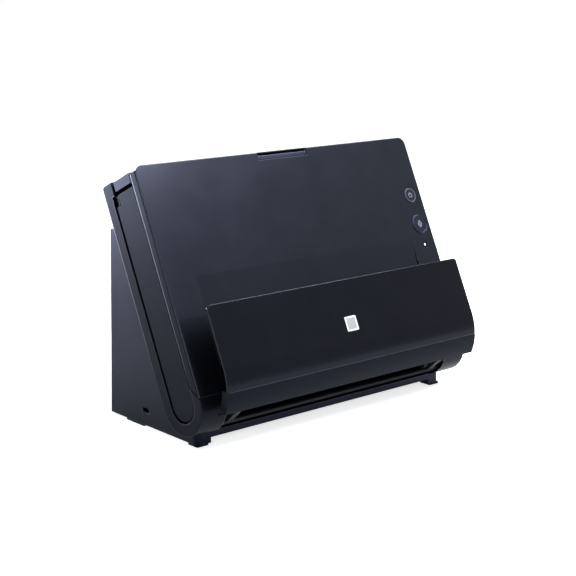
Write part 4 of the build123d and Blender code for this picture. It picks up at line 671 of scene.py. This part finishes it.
def turnedRing(profile, place):  # a closed loop of (radius, height) in metres, turned round the local Z axis
    work = bmesh.new()
    rings = []
    for step in range(ringSteps):
        angle = 2 * math.pi * step / ringSteps
        rings.append([work.verts.new(place @ Vector((r * math.cos(angle), r * math.sin(angle), z)))
                      for r, z in profile])
    joinRings(work, rings, rings[1:] + rings[:1])
    return smoothMesh(work)


def rimProfile(look):
    # a low rim with sloping flanks: innerSlope is the shoulder's step in, its share of the height and the
    # step at the top, and outerSlope is the shoulder's share of the height and the step at the top
    rimIn, rimOut = (radius * mm for radius in look["rim"])
    sink, rimTop = look["rimSink"] * mm, look["rimHeight"] * mm
    inStep, inShare, inTop = look["innerSlope"]
    outShare, outTop = look["outerSlope"]
    return ((rimIn, -sink), (rimIn + inStep * mm, rimTop * inShare), (rimIn + inTop * mm, rimTop),
            (rimOut - outTop * mm, rimTop), (rimOut, rimTop * outShare), (rimOut, -sink))


def flatRun(place, points):  # points in millimetres on a flat spot
    up = (place.to_3x3() @ Vector((0, 0, 1))).normalized()
    return [(place @ Vector((x * mm, y * mm, 0)), up) for x, y in points]


def arcPoints(radius, start, end, count, centre=(0.0, 0.0)):
    return [(centre[0] + radius * math.cos(math.radians(start + (end - start) * i / count)),
             centre[1] + radius * math.sin(math.radians(start + (end - start) * i / count)))
            for i in range(count + 1)]


# Rims and marks on the two buttons, in millimetres
printLook = dict(casingLook, deep=(0.15, 0.155, 0.17, 1), pale=(0.2, 0.205, 0.225, 1),
                 worn=(0.25, 0.26, 0.28, 1), rough=(0.4, 0.5), shine=0.3, shineTint=(1, 1, 1, 1),
                 edge=0.00008)
printFinish = plasticFinish("markPrint", printLook)
rimLook = dict(casingLook, deep=(0.085, 0.09, 0.11, 1), pale=(0.1, 0.105, 0.125, 1),
               worn=(0.16, 0.165, 0.18, 1), rough=(0.26, 0.34), shine=0.5, edge=0.0001)
startRimLook = dict(buttonLook, rough=(0.22, 0.28))
markHeight = 0.08 * mm

powerLook = {"x": 136.4, "u": 134.8, "face": 26.9, "rim": (5.75, 6.3), "rimHeight": 0.14, "rimSink": 0.1,
             "innerSlope": (0.0, 0.4, 0.12), "outerSlope": (0.4, 0.12), "symbol": 1.95, "arc": (120, 420, 30),
             "bar": ((0.0, 0.35), (0.0, 2.7)), "stroke": 0.3}
powerPlace = slabPlace(powerLook["x"], powerLook["u"], powerLook["face"])
newPiece("powerButtonRim", turnedRing(rimProfile(powerLook), powerPlace),
         plasticFinish("buttonRim", rimLook), "power_key")
powerMark = [flatRun(powerPlace, arcPoints(powerLook["symbol"], *powerLook["arc"])),
             flatRun(powerPlace, powerLook["bar"])]
newPiece("powerButtonMark", sweptStrip(powerMark, powerLook["stroke"] * mm, markHeight), printFinish,
         "power_key")

startLook = {"x": 137.6, "u": 107.1, "face": 26.9, "rim": (7.4, 8.5), "rimHeight": 0.3, "rimSink": 0.1,
             "innerSlope": (0.1, 0.35, 0.4), "outerSlope": (0.3, 0.3), "half": (2.1, 3.0),
             "bar": ((0.0, -1.1), (0.0, 1.1)), "stroke": 0.34, "barStroke": 0.306}
startPlace = slabPlace(startLook["x"], startLook["u"], startLook["face"])
newPiece("startButtonRim", turnedRing(rimProfile(startLook), startPlace),
         plasticFinish("startRimPlastic", startRimLook), "start_key")
startWide, startTall = startLook["half"]
startMark = [flatRun(startPlace, ((startWide, 0), (0, startTall), (-startWide, 0), (0, -startTall)))]
newPiece("startButtonMark", sweptStrip(startMark, startLook["stroke"] * mm, markHeight, closed=True),
         printFinish, "start_key")
startBar = [flatRun(startPlace, startLook["bar"])]
newPiece("startButtonBar", sweptStrip(startBar, startLook["barStroke"] * mm, markHeight), printFinish,
         "start_key")
print("buttons dressed")

# Small mark over the lock slot on the left: place in metres, the mark's own sizes in millimetres
lockLook = {"face": -0.139, "y": 0.0295, "z": 0.0192, "half": (1.5, 1.2), "shackle": 1.0, "shackleRise": 0.4,
            "shackleArc": (0, 180, 12), "stroke": 0.28, "height": 0.03}
facingLeft = Matrix(((0, 0, -1, 0), (-1, 0, 0, 0), (0, 1, 0, 0), (0, 0, 0, 1)))
lockPlace = Matrix.Translation((lockLook["face"], lockLook["y"], lockLook["z"])) @ facingLeft
lockWide, lockTall = lockLook["half"]
lockBody = [flatRun(lockPlace, ((-lockWide, -lockTall), (lockWide, -lockTall), (lockWide, lockTall),
                                (-lockWide, lockTall)))]
shackleTop = arcPoints(lockLook["shackle"], *lockLook["shackleArc"], (0, lockTall + lockLook["shackleRise"]))
lockStroke, lockHeight = lockLook["stroke"] * mm, lockLook["height"] * mm
# Near-black finish: the colour of the lock mark, and painted shade in the screws' cross slots
markAndSlotShadeLook = dict(casingLook, deep=(0.0015, 0.0015, 0.002, 1), pale=(0.003, 0.003, 0.0035, 1), rough=(0.5, 0.6),
                shine=0.15, edge=0.00005)
markAndSlotShadeFinish = plasticFinish("darkMarkAndSlotShade", markAndSlotShadeLook)
newPiece("lockMarkBody", sweptStrip(lockBody, lockStroke, lockHeight, closed=True), markAndSlotShadeFinish, "main_body")
newPiece("lockMarkShackle", sweptStrip([flatRun(lockPlace, shackleTop)], lockStroke, lockHeight), markAndSlotShadeFinish,
         "main_body")

# Cross slots in the bottom screws, drawn as thin near-black strips: painted shade of the slots
crossLook = {"columns": (-0.1332, 0.1332), "rows": (-0.010094, 0.057906), "face": 0.0015, "reach": 0.0012,
             "half": 0.0003, "height": 0.00003}
crossSlotShade = []
for y in crossLook["rows"]:
    for x in crossLook["columns"]:
        middle = Vector((x, y, crossLook["face"]))
        for step in (Vector((crossLook["reach"], 0, 0)), Vector((0, crossLook["reach"], 0))):
            crossSlotShade.append([(middle - step, down), (middle + step, down)])
newPiece("screwCrossShade", sweptStrip(crossSlotShade, crossLook["half"], crossLook["height"]), markAndSlotShadeFinish,
         "main_body")

# Contacts on both faces of the data port's tongue
contactLook = dict(pinLook, deep=(0.6, 0.42, 0.16, 1), pale=(0.78, 0.58, 0.26, 1), edge=0.0001)
contactPlaces = {"columns": (0.06645, 0.06895), "faces": ((0.0172, 1), (0.014, -1)),
                 "run": (0.0712, 0.075, 0.0784), "half": 0.0004, "height": 0.0001}
contacts = [[(Vector((x, y, z)), Vector((0, 0, up))) for y in contactPlaces["run"]]
            for x in contactPlaces["columns"] for z, up in contactPlaces["faces"]]
newPiece("portContacts", sweptStrip(contacts, contactPlaces["half"], contactPlaces["height"]),
         metalFinish("contactGold", contactLook), "main_body")

# Blank label under the base
labelLook = dict(casingLook, deep=(0.28, 0.28, 0.285, 1), pale=(0.32, 0.32, 0.325, 1),
                 worn=(0.4, 0.4, 0.4, 1), rough=(0.36, 0.44), grain=600.0, shine=0.4, edge=0.0001,
                 shineTint=(1, 1, 1, 1))
labelPlace = {"run": (-0.028, -0.01, 0.01, 0.028), "y": 0.03, "z": 0.0015, "half": 0.014, "height": 0.00008,
              "top": 0.995}
labelRun = [[(Vector((x, labelPlace["y"], labelPlace["z"])), down) for x in labelPlace["run"]]]
newPiece("blankLabel", sweptStrip(labelRun, labelPlace["half"], labelPlace["height"], top=labelPlace["top"]),
         plasticFinish("labelFilm", labelLook), "main_body")
print("small details added")

# Ribs on the paper path, in millimetres on the slab
ribLook = {"half": 0.0005, "height": 0.0003, "rearPlaces": (-68, -48, 0, 48, 68), "rearFace": -9.0,
           "rearRun": (101.5, 118, 135, 152, 169, 176), "throatPlaces": (-104, -62, -48, 0, 48, 62, 104),
           "throatSlope": ((113.5, -5.93), (126, 3.0), (139.2, 12.43)), "throatFacing": (0, 20, -28),
           "throatFace": 13.0, "throatRun": (141, 160, 178)}
rearRibs = [[(slabPoint(x, u, ribLook["rearFace"]), outOfSlab) for u in ribLook["rearRun"]]
            for x in ribLook["rearPlaces"]]
newPiece("rearGuideRibs", sweptStrip(rearRibs, ribLook["half"], ribLook["height"]), guidePlastic,
         "main_body")
throatFacing = (slabAxes @ Vector(ribLook["throatFacing"])).normalized()
throatRibs = []
for x in ribLook["throatPlaces"]:
    throatRibs.append([(slabPoint(x, u, n), throatFacing) for u, n in ribLook["throatSlope"]])
    throatRibs.append([(slabPoint(x, u, ribLook["throatFace"]), -outOfSlab) for u in ribLook["throatRun"]])
newPiece("throatRibs", sweptStrip(throatRibs, ribLook["half"], ribLook["height"]), guidePlastic,
         "front_unit")

# Ribs inside the output tray, in millimetres on the slab
trayRibLook = {"half": 0.0006, "height": 0.0005, "panelPlaces": (-120, -90, -60, -30, 0, 30, 60, 90, 120),
               "panelFace": 51.0, "panelRun": (18.5, 30, 45, 60),
               "floorPlaces": (-105, -75, -45, -15, 15, 45, 75, 105), "floorFace": 18.0,
               "floorRun": (37.0, 43, 50.3)}
trayPlastic = plasticFinish("trayRibPlastic", innerLook)
panelRibs = [[(slabPoint(x, u, trayRibLook["panelFace"]), -outOfSlab) for u in trayRibLook["panelRun"]]
             for x in trayRibLook["panelPlaces"]]
newPiece("trayPanelRibs", sweptStrip(panelRibs, trayRibLook["half"], trayRibLook["height"]), trayPlastic,
         "front_unit")
floorRibs = [[(slabPoint(x, trayRibLook["floorFace"], n), upSlab) for n in trayRibLook["floorRun"]]
             for x in trayRibLook["floorPlaces"]]
newPiece("trayFloorRibs", sweptStrip(floorRibs, trayRibLook["half"], trayRibLook["height"]), trayPlastic,
         "front_unit")
print("ribs added")

# Lamps
softTone = (0.85, 0.91, 1.0)
lampStands = (
    {"name": "keySoftbox", "place": (0.35, -0.475, 0.86), "aim": (-0.1, 0.02, 0.22), "size": (1.0, 0.2),
     "power": 25.0, "tone": (0.92, 0.96, 1.0)},
    {"name": "rearLowSoftbox", "place": (-0.62, 1.0, 0.15), "aim": (-0.14, 0.06, 0.12), "size": (0.28, 0.28),
     "power": 9.0, "tone": (0.74, 0.82, 1.0)},
    {"name": "edgeSoftbox", "place": (-1.14, -0.69, 0.61), "aim": (-0.15, 0.0, 0.12), "size": (0.12, 0.12),
     "power": 4.0, "tone": softTone},
    {"name": "rimSoftbox", "place": (0.75, 0.5, 0.95), "aim": (0.0, 0.0, 0.18), "size": (0.5, 0.5),
     "power": 4.0, "tone": softTone},
    {"name": "topSoftbox", "place": (0.3, -0.2, 1.6), "aim": (0.0, 0.0, 0.1), "size": (0.9, 0.9),
     "power": 4.0, "tone": softTone})
for stand in lampStands:
    lampData = bpy.data.lights.new(stand["name"], "AREA")
    lampData.shape = "RECTANGLE"
    lampData.size, lampData.size_y = stand["size"]
    lampData.color = stand["tone"]
    lampData.energy = stand["power"]
    aimAt(bpy.data.objects.new(stand["name"], lampData), stand["place"], stand["aim"])

# World: soft light on the object, plain white for the camera and in reflections
worldLook = {"ambient": (0.93, 0.96, 1.0, 1), "level": 0.42, "backdrop": (1, 1, 1, 1), "backdropLevel": 1.0}
world = bpy.data.worlds.new("studioWorld")
scene.world = world
world.use_nodes = True
worldTree = world.node_tree
worldTree.nodes.clear()
rays = put(worldTree, "ShaderNodeLightPath").outputs
seen = calc(worldTree, "MAXIMUM", calc(worldTree, "MAXIMUM", rays["Is Camera Ray"], rays["Is Glossy Ray"]),
            rays["Is Transmission Ray"])
choose = put(worldTree, "ShaderNodeMixShader")
feed(worldTree, choose.inputs[0], seen)
for index, colour, strength in ((1, worldLook["ambient"], worldLook["level"]),
                                (2, worldLook["backdrop"], worldLook["backdropLevel"])):
    background = put(worldTree, "ShaderNodeBackground")
    background.inputs["Color"].default_value = colour
    background.inputs["Strength"].default_value = strength
    feed(worldTree, choose.inputs[index], background.outputs[0])
feed(worldTree, put(worldTree, "ShaderNodeOutputWorld").inputs["Surface"], choose.outputs[0])

# Pale floor that keeps a faint shadow
floorLook = {"half": 6.0, "cells": 12, "drop": -0.0002, "pale": (0.8, 0.8, 0.8, 1),
             "paler": (0.83, 0.83, 0.83, 1), "patch": 3.0, "rough": 0.8, "shine": 0.1, "lift": 0.75,
             "mirrored": 0.37}
work = bmesh.new()
cells = floorLook["cells"]
bmesh.ops.create_grid(work, x_segments=cells, y_segments=cells, size=floorLook["half"])
floorMesh = bpy.data.meshes.new("studioFloor")
work.to_mesh(floorMesh)
work.free()
floor = bpy.data.objects.new("studioFloor", floorMesh)
floor.location.z = floorLook["drop"]
scene.collection.objects.link(floor)
floorMaterial, tree, shader = startMaterial("studioPaper")
paperTone = noise(tree, objectPlace(tree), floorLook["patch"])
feed(tree, shader.inputs["Base Color"], mixColour(tree, paperTone, floorLook["pale"], floorLook["paler"]))
shader.inputs["Roughness"].default_value = floorLook["rough"]
shader.inputs["Specular IOR Level"].default_value = floorLook["shine"]
shader.inputs["Emission Color"].default_value = (1, 1, 1, 1)
rays = put(tree, "ShaderNodeLightPath").outputs
direct = calc(tree, "MAXIMUM", rays["Is Camera Ray"], rays["Is Transmission Ray"])
lift = calc(tree, "MAXIMUM", calc(tree, "MULTIPLY", direct, floorLook["lift"]),
            calc(tree, "MULTIPLY", rays["Is Glossy Ray"], floorLook["mirrored"]))
feed(tree, shader.inputs["Emission Strength"], lift)
floorMesh.materials.append(floorMaterial)
print("studio built")
